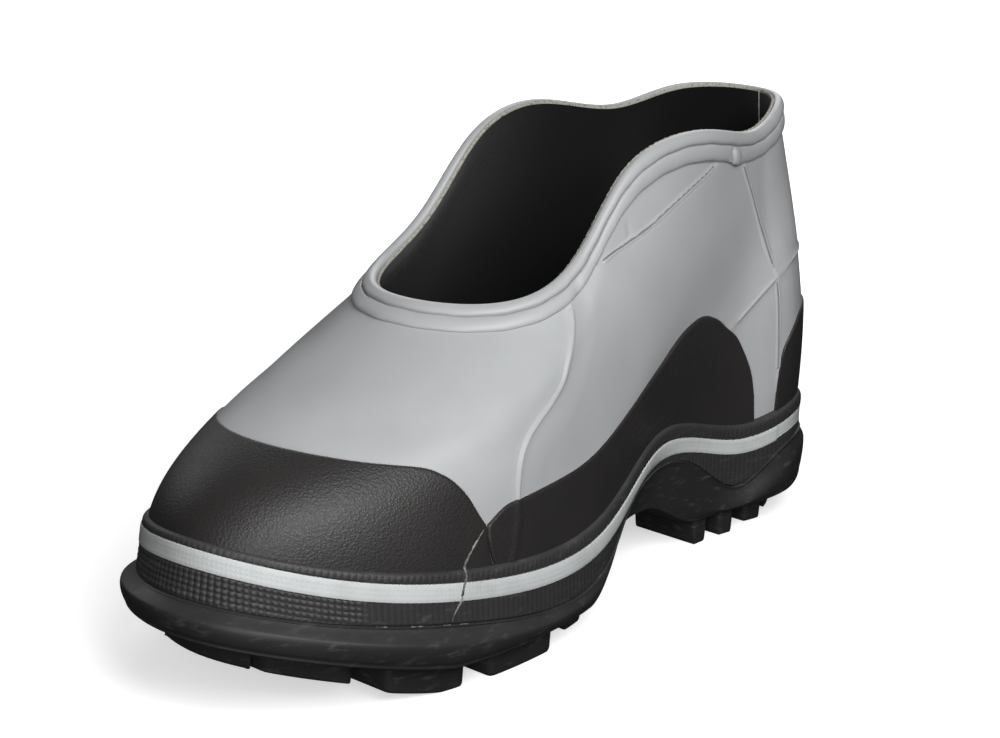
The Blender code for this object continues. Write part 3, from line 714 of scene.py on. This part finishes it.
foot_v = v_above_line(ROUND, bed_beside(ROUND, -FOXING - WRAP_GAP) + GAP - sizes(ROUND)["line_z"])
top_v = v_below_collar(ROUND, SHELL_TOP)
up_share = np.linspace(0, 1, UPPER_ROWS)[:, None]
shell_v = foot_v + (top_v - foot_v) * up_share
shell_t = np.broadcast_to(ROUND, shell_v.shape)
shell_points = wall(shell_t, shell_v)
shell_relief = seam_relief(shell_points) + hollow_relief(shell_points) + swell(shell_t, shell_v)
shell_out = skin(shell_t, shell_v, shell_relief)
inner_v = foot_v + (top_v - foot_v) * np.linspace(1, 0, INNER_ROWS)[:, None]
shell_in = skin(np.broadcast_to(ROUND, inner_v.shape), inner_v, -SHELL)
shell = np.concatenate([shell_out, shell_in, shell_out[:1]])
make_piece("upper_shell", [shut(shell)], GREY_RUBBER, ["upper"])

# Sections across the seams, in millimetres across and out from the wall: a fold's soft ridge, a cut edge
# with a crease beside it, and a line of painted shade at the bottom of that crease
FOLD = [(-1.6, -0.38), (-1.0, -0.06), (-0.5, 0.18), (-0.2, 0.26), (0.0, 0.28), (0.2, 0.26), (0.5, 0.18),
        (1.0, -0.06), (1.6, -0.38)]
CREASE = [(-1.8, -0.25), (-1.1, 0.06), (-0.6, 0.24), (-0.36, 0.23), (-0.24, -0.25), (0.24, -0.25),
          (0.36, 0.23), (0.6, 0.24), (1.1, 0.06), (1.8, -0.25)]
CREASE_SHADE = [(-0.34, -0.05), (-0.2, 0.17), (0.2, 0.17), (0.34, -0.05)]


def painted_crease_shade():
    """Painted shade in a crease: a dull mid grey, in lines too thin to show any grain."""
    values = {"Base Color": linear("77787a"), "Roughness": 0.9, "Specular IOR Level": 0.1}
    return new_material("painted_crease_shade", values)[0]


folds, crease_shade_lines = [], []
for name, path in SEAMS.items():
    ridge, step = SEAM_RELIEF[name][1:]
    for turn, line in zip((1, -1), both_sides(path)):
        folds.append(seam_strip(line, step, turn, ridge, FOLD if ridge else CREASE))
        # A cut edge's crease gets a mid grey line of painted shade at its bottom
        if not ridge:
            crease_shade_lines.append(seam_strip(line, step, turn, ridge, CREASE_SHADE))
make_piece("seam_folds", folds, GREY_RUBBER, [])
make_piece("painted_crease_shade_lines", crease_shade_lines, painted_crease_shade(), [])


# Lining: black knit, bonded to the inside of the shell before it is cured. It ends in a cut edge at the
# collar.

LINING_TOP = 1.0
LINING_ROWS = 40
LINING_GAP = 0.05

lining_top = v_below_collar(ROUND, LINING_TOP)
lining_v = foot_v + (lining_top - foot_v) * np.linspace(0, 1, LINING_ROWS)[:, None]
lining_t = np.broadcast_to(ROUND, lining_v.shape)
lining_in = skin(lining_t, lining_v, swell(lining_t, lining_v) - WALL)
lining_out = skin(lining_t, lining_v, -SHELL - LINING_GAP)
hidden_rows = lining_out[::-6]
make_piece("knit_lining", [tube([*lining_in, *hidden_rows, lining_out[0]])], BLACK_KNIT, [])

# The lining's seam at the back: a narrow cream tape, a little to the medial side
BACK_SEAM = 0.22
BACK_TAPE = [(-0.010, 0.1), (-0.008, -0.18), (0.0, -0.25), (0.008, -0.18), (0.010, 0.1)]
TAPE_TOP, TAPE_END, TAPE_STEPS = 0.6, 70, 60
tape_line = np.full(TAPE_STEPS, BACK_SEAM)
tape_v = v_below_collar(tape_line, np.linspace(TAPE_TOP, TAPE_END, TAPE_STEPS))
tape = []
for turn, out in BACK_TAPE:
    tape_t = tape_line + turn
    tape.append(skin(tape_t, tape_v, swell(tape_t, tape_v) - WALL + out))


# Collar edge: the raw cut edge of lining and backing cloth, cream where its threads show, between the
# lining and the band.

# Section: depth below the collar, and distance out from the wall
EDGE_SECTION = [(2.2, -1.4), (0.6, -1.3), (0.1, -1.45), (-0.1, -1.75), (0.0, -2.10), (0.35, -2.36),
                (1.2, -2.42), (2.2, -2.3)]
FRAY = 0.22
FRAY_WAVES = [(61, 0), (97, 1), (151, 2)]
FINE_AROUND = 960
CUT_STEPS = 17


def cream_cut_cloth():
    """Raw edge of undyed cotton backing: cream, fuzzy and matt, with darker lining threads in it."""
    cream, thread = "a5a399", "57544c"
    thread_mm = 0.9
    material, shader = new_material("cream_cut_cloth", {
        "Roughness": 0.95, "IOR": 1.45, "Specular IOR Level": 0.12})
    place = add_node(material, "TexCoord", {})
    threads = add_node(material, "TexNoise", {
        "Vector": place.outputs["Object"], "Scale": 1 / (thread_mm * MM), "Detail": 4.0})
    dark = add_node(material, "MapRange", {
        "Value": threads.outputs["Fac"], "From Min": 0.52, "From Max": 0.70})
    colour = add_node(material, "Mix", {
        "Factor": dark.outputs["Result"], "A": linear(cream), "B": linear(thread)}, data_type="RGBA")
    bump = add_node(material, "Bump", {
        "Height": threads.outputs["Fac"], "Distance": 0.2 * MM, "Strength": 1.0})
    join(material, shader, Base_Color=colour.outputs["Result"], Normal=bump.outputs["Normal"])
    return material


CUT_CLOTH = cream_cut_cloth()
make_piece("lining_back_tape", [np.array(tape)], CUT_CLOTH, [])

FINE_ROUND = steps_round(FINE_AROUND)
fray = FRAY * sum(np.sin(waves * FINE_ROUND + phase) for waves, phase in FRAY_WAVES) / len(FRAY_WAVES)
edge = [skin(FINE_ROUND, v_below_collar(FINE_ROUND, depth + fray * (depth < 1)), out)
        for depth, out in profile(EDGE_SECTION, CUT_STEPS)]
make_piece("collar_cut_edge", [tube(edge)], CUT_CLOTH, [])


# Collar band: a strip of grey rubber rolled round the collar before curing, with a broad bead at the edge, a
# groove, and a slimmer bead that feathers out below. Its ends meet in a small lapped splice.

# Section: depth below the collar, and distance out from the wall
BAND_SECTION = [(10.9, -0.4), (11.1, 0.05), (11.2, 0.45), (11.0, 0.90), (10.5, 1.30), (9.6, 1.65),
                (8.4, 1.85), (7.2, 1.90), (6.2, 1.80), (5.6, 1.60), (5.3, 1.20), (5.15, 0.80),
                (5.0, 1.15), (4.75, 1.70), (4.2, 2.10), (3.3, 2.30), (2.2, 2.25), (1.2, 1.95),
                (0.3, 1.30), (-0.1, 0.45), (-0.1, -0.4), (0.4, -1.0), (2.0, -1.1)]
BAND_STEPS = 56

# Marks on the lower bead: place as t of the medial side, reach, and how far it stands out or in there.
# The first two are the crease and the facet of the splice behind the quarter, the last is the pinch at
# the throat's corner.
BEAD_MARKS = [(2.535, 0.025, -0.75), (2.36, 0.040, -0.35), (5.25, 0.080, -0.45)]
BEAD_SAG = (2.40, 0.16, 1.1)
BEAD_TOP = 5.15
BEAD_FADE = 1.5
BEAD_FRONT = 0.3

# The splice's lap: from and to which t it runs, how soft its two ends are, its height, and its end's slant
LAP_FROM, LAP_TO = 2.28, 2.50
LAP_SOFT, LAP_SHARP = 0.15, 0.03
LAP_HEIGHT = 0.55
LAP_SLANT = 0.014
BAND_WAVER = 0.22
WAVER_FADE = 4.0

from_heel = np.minimum(FINE_ROUND, TURN - FINE_ROUND)
marks = sum(hump(FINE_ROUND, *mark) for mark in BEAD_MARKS)
waver = BAND_WAVER * (np.sin(6 * np.pi * FINE_ROUND) + np.sin(22 * np.pi * FINE_ROUND / TURN + 1)) / 2
band = []
for depth, out in profile(BAND_SECTION, BAND_STEPS):
    on_bead = smooth((depth - BEAD_TOP) / BEAD_FADE)
    sunk = depth + on_bead * hump(FINE_ROUND, *BEAD_SAG) + waver * smooth(depth / WAVER_FADE)
    lap_end = LAP_TO + LAP_SLANT * (depth - BEAD_TOP)
    lap = LAP_HEIGHT * smooth((from_heel - LAP_FROM) / LAP_SOFT)
    lap *= smooth((lap_end - from_heel) / LAP_SHARP + 0.5)
    raised = out + (marks + lap) * on_bead * (out > BEAD_FRONT)
    band.append(skin(FINE_ROUND, v_below_collar(FINE_ROUND, sunk), raised))
make_piece("collar_roll", [tube(band)], GREY_RUBBER, ["collar_band"])


# Foxing: a calendered strip of black rubber wrapped round the joint of upper and outsole. Below the stripe
# it has fine square cells rolled into it round the toe and fine upright ribs from there on. Above the stripe
# it has ribs all round.

STRIPE_HEIGHT = 6.0
STRIPE_DEPTH = 1.0
CELL_UP = 1.9
CELLS_ROUND = 330
CELL_STEPS = 6
CELL_ROWS = 22
CELL_DEPTH = 0.52
CELL_POWER = 0.6
CELL_REACH = 1.22
CELL_FADE = 0.12
RIB_DEPTH = 0.22
GROOVE_GAP = 0.15
FOOT_GAP = 0.2
FOOT_ROUND = 0.35
FIRST_ROW = 0.03
RIB_TOP, RIB_TOP_FADE = 0.8, 0.2
TUCK_SHARE = 0.5
ROUND_SAMPLES = 4001
FOXING_FACE = WRAP_GAP + FOXING

# Above the groove: share of the way from it to the top edge, and how far in from the face
TOP_SECTION = [(0.0, 0.25), (0.06, 0.02), (0.20, 0.0), (0.36, 0.0), (0.50, 0.05), (0.62, 0.14), (0.74, 0.32),
               (0.84, 0.60), (0.92, 0.98), (0.97, 1.45), (1.0, 2.0), (1.02, 2.75)]


def even_round(count):
    """t at equal distances round the stripe line, and the distance from the heel there."""
    t = np.linspace(0, TURN, ROUND_SAMPLES)
    way = reached(stripe_line(t))
    at = np.linspace(0, way[-1], count + 1)[:-1]
    return np.interp(at, way, t), at


fox_t, fox_at = even_round(CELL_STEPS * CELLS_ROUND)
fox_size = sizes(fox_t)
fox_lip = lip_top(fox_t) + GAP
fox_foot = fox_lip - fox_size["line_z"]
toe_share = smooth((CELL_REACH - np.abs(fox_t - TURN / 2)) / CELL_FADE + 0.5)
across_cell = np.abs(np.sin(np.pi * fox_at / fox_at[CELL_STEPS]))**CELL_POWER
half_groove = STRIPE_HEIGHT / 2 + GROOVE_GAP
foxing = [leaning(fox_t, out, fox_lip) for out in (FOOT_GAP - FOXING_FACE, -FOOT_ROUND)]
for share in np.linspace(FIRST_ROW, 1, CELL_ROWS):
    height = fox_foot + (-half_groove - fox_foot) * share
    up_cell = np.abs(np.sin(np.pi * (-half_groove - height) / CELL_UP))**CELL_POWER
    cells = CELL_DEPTH * (1 - across_cell * up_cell) * toe_share
    ribs = RIB_DEPTH * (1 - across_cell) * (1 - toe_share)
    foxing.append(skin(fox_t, v_above_line(fox_t, height), FOXING_FACE - cells - ribs))
for height in (-half_groove, half_groove):
    foxing.append(skin(fox_t, v_above_line(fox_t, height), FOXING_FACE - STRIPE_DEPTH - GAP))
for share, inset in TOP_SECTION:
    height = half_groove + (fox_size["cuff"] - half_groove) * share
    ribs = RIB_DEPTH * (1 - across_cell) * smooth((RIB_TOP - share) / RIB_TOP_FADE)
    foxing.append(skin(fox_t, v_above_line(fox_t, height), FOXING_FACE - inset - ribs))
foxing.append(skin(fox_t, v_above_line(fox_t, TUCK_SHARE * fox_size["cuff"]), 0.0))
CALENDERED_RUBBER = moulded_black_rubber("calendered_black_rubber", "2d2d2e", "424243")
make_piece("foxing_strip", [tube(foxing)], CALENDERED_RUBBER, ["foxing_band"])


# Stripe: a thin strip of white rubber pressed into the foxing's groove, lapped at a splice by the heel. The
# weave of the cloth that it was pressed with shows on it faintly.

STRIPE_SPLICE = 1.45
SPLICE_FADE = 0.02
STRIPE_LAP = 0.35
STRIPE_TRIM = 0.8

# Section: share of the half height, and distance out from the foxing's face
STRIPE_SECTION = [(-1.0, -STRIPE_DEPTH), (-1.0, 0.0), (-0.98, 0.12), (-0.9, 0.22), (-0.6, 0.27),
                  (-0.3, 0.29), (0.0, 0.3), (0.3, 0.29), (0.6, 0.27), (0.9, 0.22), (0.98, 0.12),
                  (1.0, 0.0), (1.0, -STRIPE_DEPTH)]


def white_rubber():
    """Titanium-white rubber, a little greyed: satin, with a faint print of woven cloth along its UV map."""
    white, soiled = "bec1c1", "a5a8a7"
    soil_mm, weave_mm, weave_depth = 22.0, 1.6, 0.05
    material, shader = new_material("white_rubber", {
        "IOR": 1.50, "Specular IOR Level": 0.4, "Roughness": 0.48})
    place = add_node(material, "TexCoord", {})
    soil = add_node(material, "TexNoise", {
        "Vector": place.outputs["Object"], "Scale": 1 / (soil_mm * MM), "Detail": 7.0, "Roughness": 0.65})
    patchy = add_node(material, "MapRange", {
        "Value": soil.outputs["Fac"], "From Min": 0.45, "From Max": 0.8})
    colour = add_node(material, "Mix", {
        "Factor": patchy.outputs["Result"], "A": linear(white), "B": linear(soiled)}, data_type="RGBA")
    wave_scale = np.pi / 10 / (weave_mm * MM)
    warp = add_node(material, "TexWave", {
        "Vector": place.outputs["UV"], "Scale": wave_scale}, bands_direction="X")
    weft = add_node(material, "TexWave", {
        "Vector": place.outputs["UV"], "Scale": wave_scale}, bands_direction="Y")
    weave = add_node(material, "Math", {
        0: warp.outputs["Fac"], 1: weft.outputs["Fac"]}, operation="MULTIPLY")
    bump = add_node(material, "Bump", {
        "Height": weave.outputs["Value"], "Distance": weave_depth * MM, "Strength": 1.0})
    join(material, shader, Base_Color=colour.outputs["Result"], Normal=bump.outputs["Normal"])
    return material


stripe_t = even_round(FINE_AROUND)[0]
heel_side = smooth((STRIPE_SPLICE - np.minimum(stripe_t, TURN - stripe_t)) / SPLICE_FADE + 0.5)
half_stripe = STRIPE_HEIGHT / 2
low = -half_stripe + STRIPE_TRIM * heel_side
stripe = []
for height, out in STRIPE_SECTION:
    level = low + (half_stripe - low) * (height + 1) / 2
    face = FOXING_FACE + out - STRIPE_LAP * heel_side * (out > 0)
    stripe.append(skin(stripe_t, v_above_line(stripe_t, level), face))
make_piece("stripe_strip", [tube(stripe)], white_rubber(), ["white_stripe"])


# Overlays: sheets of black rubber with an embossed leather grain, cemented over toe, sides and heel
# before the foxing goes on. Their cut edges stand a millimetre proud and are slightly rounded.

OVERLAY = 1.1
BACK_SINK = 0.25
FOOT_TUCK = 3.0
EDGE_ROUND = 1.1
EDGE_POINTS = 400
EDGE_STEPS = np.array([0.0, 0.06, 0.2, 0.45, 0.8, 1.2, 1.8])

# Upper edges, as (t, v) points on the wall, and the ends of their feet at the foxing
TOE_CAP_EDGE = [(5.02, 0.212), (5.28, 0.30), (5.50, 0.36), (5.75, 0.415), (6.00, 0.45),
                (6.40, 0.455), (7.00, 0.455)]
TOE_CAP_FOOT = 4.82
GUARD_EDGE = [(5.015, 0.214), (4.93, 0.265), (4.76, 0.28), (4.50, 0.29), (4.20, 0.295), (3.85, 0.31),
              (3.45, 0.325), (3.20, 0.345), (2.95, 0.393), (2.68, 0.428), (2.44, 0.42), (2.26, 0.39),
              (2.11, 0.36), (2.01, 0.32), (1.91, 0.265), (1.84, 0.21), (1.79, 0.14)]
GUARD_FOOT = (4.815, 1.75)
COUNTER_EDGE = [(1.45, 0.11), (1.44, 0.165), (1.40, 0.22), (1.32, 0.245), (1.20, 0.268), (1.00, 0.295),
                (0.60, 0.318), (0.00, 0.330)]
COUNTER_FOOT = 1.45

# The instep seam under the guard, as v and t: how high, how wide, and on what thickness of sheet it shows
GHOST_V = [0.06, 0.13, 0.21, 0.27, 0.33]
GHOST_T = [4.73, 4.73, 4.77, 4.84, 4.93]
GHOST = 0.5
GHOST_WIDTH = 0.025
GHOST_FROM = 0.3


def grained_black_rubber():
    """Calendered rubber embossed as pebbled leather: black, satin on the pebbles and dull in the creases."""
    black, worn = "222121", "2b2928"
    pebble_mm, pebble_depth, cloud_mm = 0.85, 0.09, 24.0
    material, shader = new_material("grained_black_rubber", {"IOR": 1.52, "Specular IOR Level": 0.36})
    place = add_node(material, "TexCoord", {})
    warp = add_node(material, "TexNoise", {
        "Vector": place.outputs["Object"], "Scale": 1 / (2 * pebble_mm * MM), "Detail": 2.0})
    nudge = add_node(material, "VectorMath", {
        0: warp.outputs["Color"], 1: (pebble_mm * MM,) * 3}, operation="MULTIPLY")
    bent = add_node(material, "VectorMath", {
        0: place.outputs["Object"], 1: nudge.outputs["Vector"]}, operation="ADD")
    pebbles = add_node(material, "TexVoronoi", {
        "Vector": bent.outputs["Vector"], "Scale": 1 / (pebble_mm * MM),
        "Smoothness": 0.5}, feature="SMOOTH_F1")
    domes = add_node(material, "MapRange", {
        "Value": pebbles.outputs["Distance"], "From Min": 0.0, "From Max": 0.7, "To Min": 1.0,
        "To Max": 0.0})
    cloud = add_node(material, "TexNoise", {
        "Vector": place.outputs["Object"], "Scale": 1 / (cloud_mm * MM), "Detail": 6.0})
    colour = add_node(material, "Mix", {
        "Factor": cloud.outputs["Fac"], "A": linear(black), "B": linear(worn)}, data_type="RGBA")
    gloss = add_node(material, "MapRange", {
        "Value": domes.outputs["Result"], "From Min": 0.2, "From Max": 0.9, "To Min": 0.50, "To Max": 0.33})
    bump = add_node(material, "Bump", {
        "Height": domes.outputs["Result"], "Distance": pebble_depth * MM, "Strength": 1.0})
    join(material, shader, Base_Color=colour.outputs["Result"], Roughness=gloss.outputs["Result"],
         Normal=bump.outputs["Normal"])
    return material


def rounded(distance):
    """Share of a sheet's thickness at a distance from its cut edge: a quarter round, then full."""
    inside = np.clip(distance / EDGE_ROUND, 0, 1)
    return np.sqrt(1 - (1 - inside)**2)


def spaced(count, length):
    """Shares from 0 to 1 that crowd towards both ends, where a sheet's edge is rounded."""
    middle = np.linspace(EDGE_STEPS[-1], length - EDGE_STEPS[-1], count)[1:-1]
    return np.concatenate([EDGE_STEPS, middle, length - EDGE_STEPS[::-1]]) / length


def overlay(name, edge, foot_from, foot_to, columns, rows):
    """Sheet on the wall from behind the foxing's top up to an edge line, rounded off at its free edges."""
    fine_t, fine_v = along_wall(edge, EDGE_POINTS)
    length = reached(skin(fine_t, fine_v, 0.0))[-1]
    pick = spaced(columns, length)
    top_t, top_v = (np.interp(pick, np.linspace(0, 1, EDGE_POINTS), values) for values in (fine_t, fine_v))
    foot_t = foot_from + (foot_to - foot_from) * (top_t - top_t[0]) / (top_t[-1] - top_t[0])
    foot_v = v_above_line(foot_t, sizes(foot_t)["cuff"] - FOOT_TUCK)
    tall = np.linalg.norm(skin(top_t, top_v, 0.0) - skin(foot_t, foot_v, 0.0), axis=-1)
    low = np.linspace(0, 1, rows)[:, None] * (1 - EDGE_STEPS[-1] / tall)
    high = 1 - EDGE_STEPS[-2::-1, None] / tall
    share = np.concatenate([low, high])
    t = foot_t + (top_t - foot_t) * share
    v = foot_v + (top_v - foot_v) * share
    from_end = np.minimum(pick, 1 - pick) * length
    thick = OVERLAY * rounded((1 - share) * tall) * rounded(from_end)
    base = np.where(thick > 0, 0, -BACK_SINK)
    outer = skin(t, v, base + thick + GHOST * (thick > GHOST_FROM) * seam_ghost(t, v))
    inner = skin(t, v, -BACK_SINK)
    inner[-1], inner[:, 0], inner[:, -1] = outer[-1], outer[:, 0], outer[:, -1]
    grids = [outer, inner, np.array([outer[0], inner[0]])]
    make_piece(name, grids, GRAINED_RUBBER, [name.replace("_sheet", "")])


def seam_ghost(t, v):
    """The instep seam, showing softly through a sheet laid over it."""
    line = np.interp(v, GHOST_V, GHOST_T)
    away = np.minimum(np.abs(t - line), np.abs(TURN - t - line))
    return np.exp(-(away / GHOST_WIDTH)**2)


GRAINED_RUBBER = grained_black_rubber()
overlay("toe_cap_sheet", across(TOE_CAP_EDGE), TOE_CAP_FOOT, TURN - TOE_CAP_FOOT, columns=220, rows=60)
overlay("side_guard_medial_sheet", GUARD_EDGE, *GUARD_FOOT, columns=200, rows=40)
overlay("side_guard_lateral_sheet", mirrored(GUARD_EDGE), *(TURN - t for t in GUARD_FOOT), columns=200,
        rows=40)
overlay("heel_counter_sheet", across(COUNTER_EDGE), COUNTER_FOOT, -COUNTER_FOOT, columns=140, rows=30)


# Flash: a thin thread of dried cement, squeezed out where cap and guard meet and carried down over foxing and
# stripe, and short runs of it along the joint of foxing and lip. It is on the medial side only.

# The thread: t, height over the stripe line, and distance out from the wall
THREAD = [(5.030, 19.5, 0.9), (5.045, 17.0, 1.2), (5.060, 14.0, 1.25), (5.083, 8.9, 1.35), (5.083, 7.2, 1.5),
          (5.081, 5.6, 2.5), (5.080, 4.5, 2.85), (5.086, 3.0, 2.95), (5.098, 0.5, 3.05), (5.112, -3.0, 2.95),
          (5.122, -4.2, 2.75), (5.158, -7.0, 2.75), (5.182, -10.0, 2.75)]
THREAD_WIDTH = 0.75
THREAD_HEIGHT = 0.30
THREAD_SINK = 0.05
THREAD_STEPS = 121
THREAD_ROWS = 7

# Runs along the joint: from and to which t, how far in and up from the lip's edge, and the shares of the
# thread's height and width that they have
JOINT_RUNS = [(5.06, 5.13), (5.19, 5.25), (5.38, 5.47), (5.62, 5.70)]
RUN_IN, RUN_UP = 0.2, 0.1
RUN_HEIGHT_SHARE, RUN_WIDTH_SHARE = 0.7, 0.4
RUN_STEPS = 41


def dried_cement():
    """Rubber cement, dried to a dull pale grey skin that is thin in places."""
    thick, thin = "7e7e7b", "2a2a2a"
    patch_mm = 2.2
    material, shader = new_material("dried_cement", {
        "IOR": 1.50, "Specular IOR Level": 0.3, "Roughness": 0.6})
    place = add_node(material, "TexCoord", {})
    patch = add_node(material, "TexNoise", {
        "Vector": place.outputs["Object"], "Scale": 1 / (patch_mm * MM), "Detail": 4.0})
    share = add_node(material, "MapRange", {
        "Value": patch.outputs["Fac"], "From Min": 0.40, "From Max": 0.65})
    colour = add_node(material, "Mix", {
        "Factor": share.outputs["Result"], "A": linear(thick), "B": linear(thin)}, data_type="RGBA")
    join(material, shader, Base_Color=colour.outputs["Result"])
    return material


def thread_on(place, count):
    """Grid of a thread with a rounded back and wavering sides, placed by a function of across and up."""
    share = np.linspace(0, 6, count)
    waver = 0.7 + 0.3 * np.sin(23 * share) * np.sin(9 * share + 1)
    taper = np.minimum(1, 6 * from_ends(count))
    half_width, height = THREAD_WIDTH * waver * taper, THREAD_HEIGHT * taper
    return np.array([place(side * half_width, (1 - side**2) * height - THREAD_SINK)
                     for side in np.linspace(-1, 1, THREAD_ROWS)])


def across_thread(across_mm, up):
    """Points of the thread over cap, foxing and stripe, moved along the shoe and out."""
    t, height, out = profile(THREAD, THREAD_STEPS).T
    line = skin(t, v_above_line(t, height), out)
    ahead = plan_normal(stripe_line, t) @ np.array([[0, -1, 0], [1, 0, 0], [0, 0, 0]])
    return line + ahead * across_mm[:, None] + plan_normal(stripe_line, t) * up[:, None]


def joint_thread(start, end):
    """Function for the points of a run along the lip's top, moved up the foxing and out."""
    t = np.linspace(start, end, RUN_STEPS)
    return lambda across_mm, up: leaning(t, LIP_STEP - RUN_IN + RUN_HEIGHT_SHARE * up,
                                         lip_top(t) + RUN_UP + RUN_WIDTH_SHARE * across_mm)


flash = [thread_on(across_thread, THREAD_STEPS)]
flash += [thread_on(joint_thread(*run), RUN_STEPS) for run in JOINT_RUNS]
make_piece("cement_flash", flash, dried_cement(), [])


# Floor, light and camera: a pale floor that is seen but doesn't light the shoe, and four soft boxes. The
# key is on the camera's right, and the back one is for the lateral side. The camera has the photograph's
# angle.

FLOOR_SIZE = 12.0
WORLD_GLOW = 0.03
CAMERA_AIM = Vector((0.0008, -0.0018, 0.0778))
CAMERA_TURN = 41.6
CAMERA_RISE = 17.7
CAMERA_ROLL = 0.6
CAMERA_DISTANCE = 0.880
CAMERA_LENS = 88.5

# Soft boxes: turn and rise in degrees, distance and size in metres, power in watts
SOFT_BOXES = {
    "key": (66, 38, 0.85, 0.5, 7.2),
    "front": (36, 12, 1.1, 0.6, 5.2),
    "left": (-95, 22, 1.2, 0.6, 1.1),
    "back": (-145, 30, 1.4, 0.9, 7.5),
}


def direction(turn, rise):
    """Unit vector turned from +Y towards -X, and raised, in degrees."""
    a, e = np.radians(turn), np.radians(rise)
    return Vector((-np.sin(a) * np.cos(e), np.cos(a) * np.cos(e), np.sin(e)))


def soft_box(name, turn, rise, distance, size, power):
    """Square area light that faces the shoe's middle."""
    light = bpy.data.lights.new(name, "AREA")
    light.energy = power
    light.size = size
    lamp = bpy.data.objects.new(name, light)
    back = direction(turn, rise)
    lamp.location = CAMERA_AIM + back * distance
    lamp.rotation_euler = back.to_track_quat("Z", "Y").to_euler()
    bpy.context.scene.collection.objects.link(lamp)


def light_table():
    """Matt white glass, lit from below, more so away from the shoe, so that the ground is evenly white."""
    near_m, far_m, near_glow, far_glow = 0.15, 0.5, 0.55, 1.0
    material, shader = new_material("light_table", {
        "Base Color": linear("e6e6e6"), "Roughness": 0.9, "Specular IOR Level": 0.1,
        "Emission Color": linear("ffffff")})
    place = add_node(material, "TexCoord", {})
    away = add_node(material, "VectorMath", {0: place.outputs["Object"]}, operation="LENGTH")
    glow = add_node(material, "MapRange", {
        "Value": away.outputs["Value"], "From Min": near_m, "From Max": far_m, "To Min": near_glow,
        "To Max": far_glow})
    join(material, shader, Emission_Strength=glow.outputs["Result"])
    return material


half_floor = FLOOR_SIZE / 2
floor_mesh = bpy.data.meshes.new("floor")
floor_corners = [(x * half_floor, y * half_floor, 0) for x, y in ((-1, -1), (1, -1), (1, 1), (-1, 1))]
floor_mesh.from_pydata(floor_corners, [], [(0, 1, 2, 3)])
floor_mesh.materials.append(light_table())
floor = bpy.data.objects.new("floor", floor_mesh)
bpy.context.scene.collection.objects.link(floor)
floor.visible_diffuse = False
floor.visible_glossy = False

for name, box in SOFT_BOXES.items():
    soft_box(name, *box)

world = bpy.data.worlds.new("studio")
world.use_nodes = True
world.node_tree.nodes["Background"].inputs["Color"].default_value = linear("ffffff")
world.node_tree.nodes["Background"].inputs["Strength"].default_value = WORLD_GLOW
bpy.context.scene.world = world
bpy.context.scene.view_settings.view_transform = "Standard"

camera_data = bpy.data.cameras.new("camera")
camera_data.lens = CAMERA_LENS
camera_data.sensor_width = 36.0
camera = bpy.data.objects.new("camera", camera_data)
back = direction(CAMERA_TURN, CAMERA_RISE)
roll = Matrix.Rotation(np.radians(CAMERA_ROLL), 4, "Z")
facing = back.to_track_quat("Z", "Y").to_matrix().to_4x4()
camera.matrix_world = Matrix.Translation(CAMERA_AIM + back * CAMERA_DISTANCE) @ facing @ roll
bpy.context.scene.collection.objects.link(camera)
bpy.context.scene.camera = camera
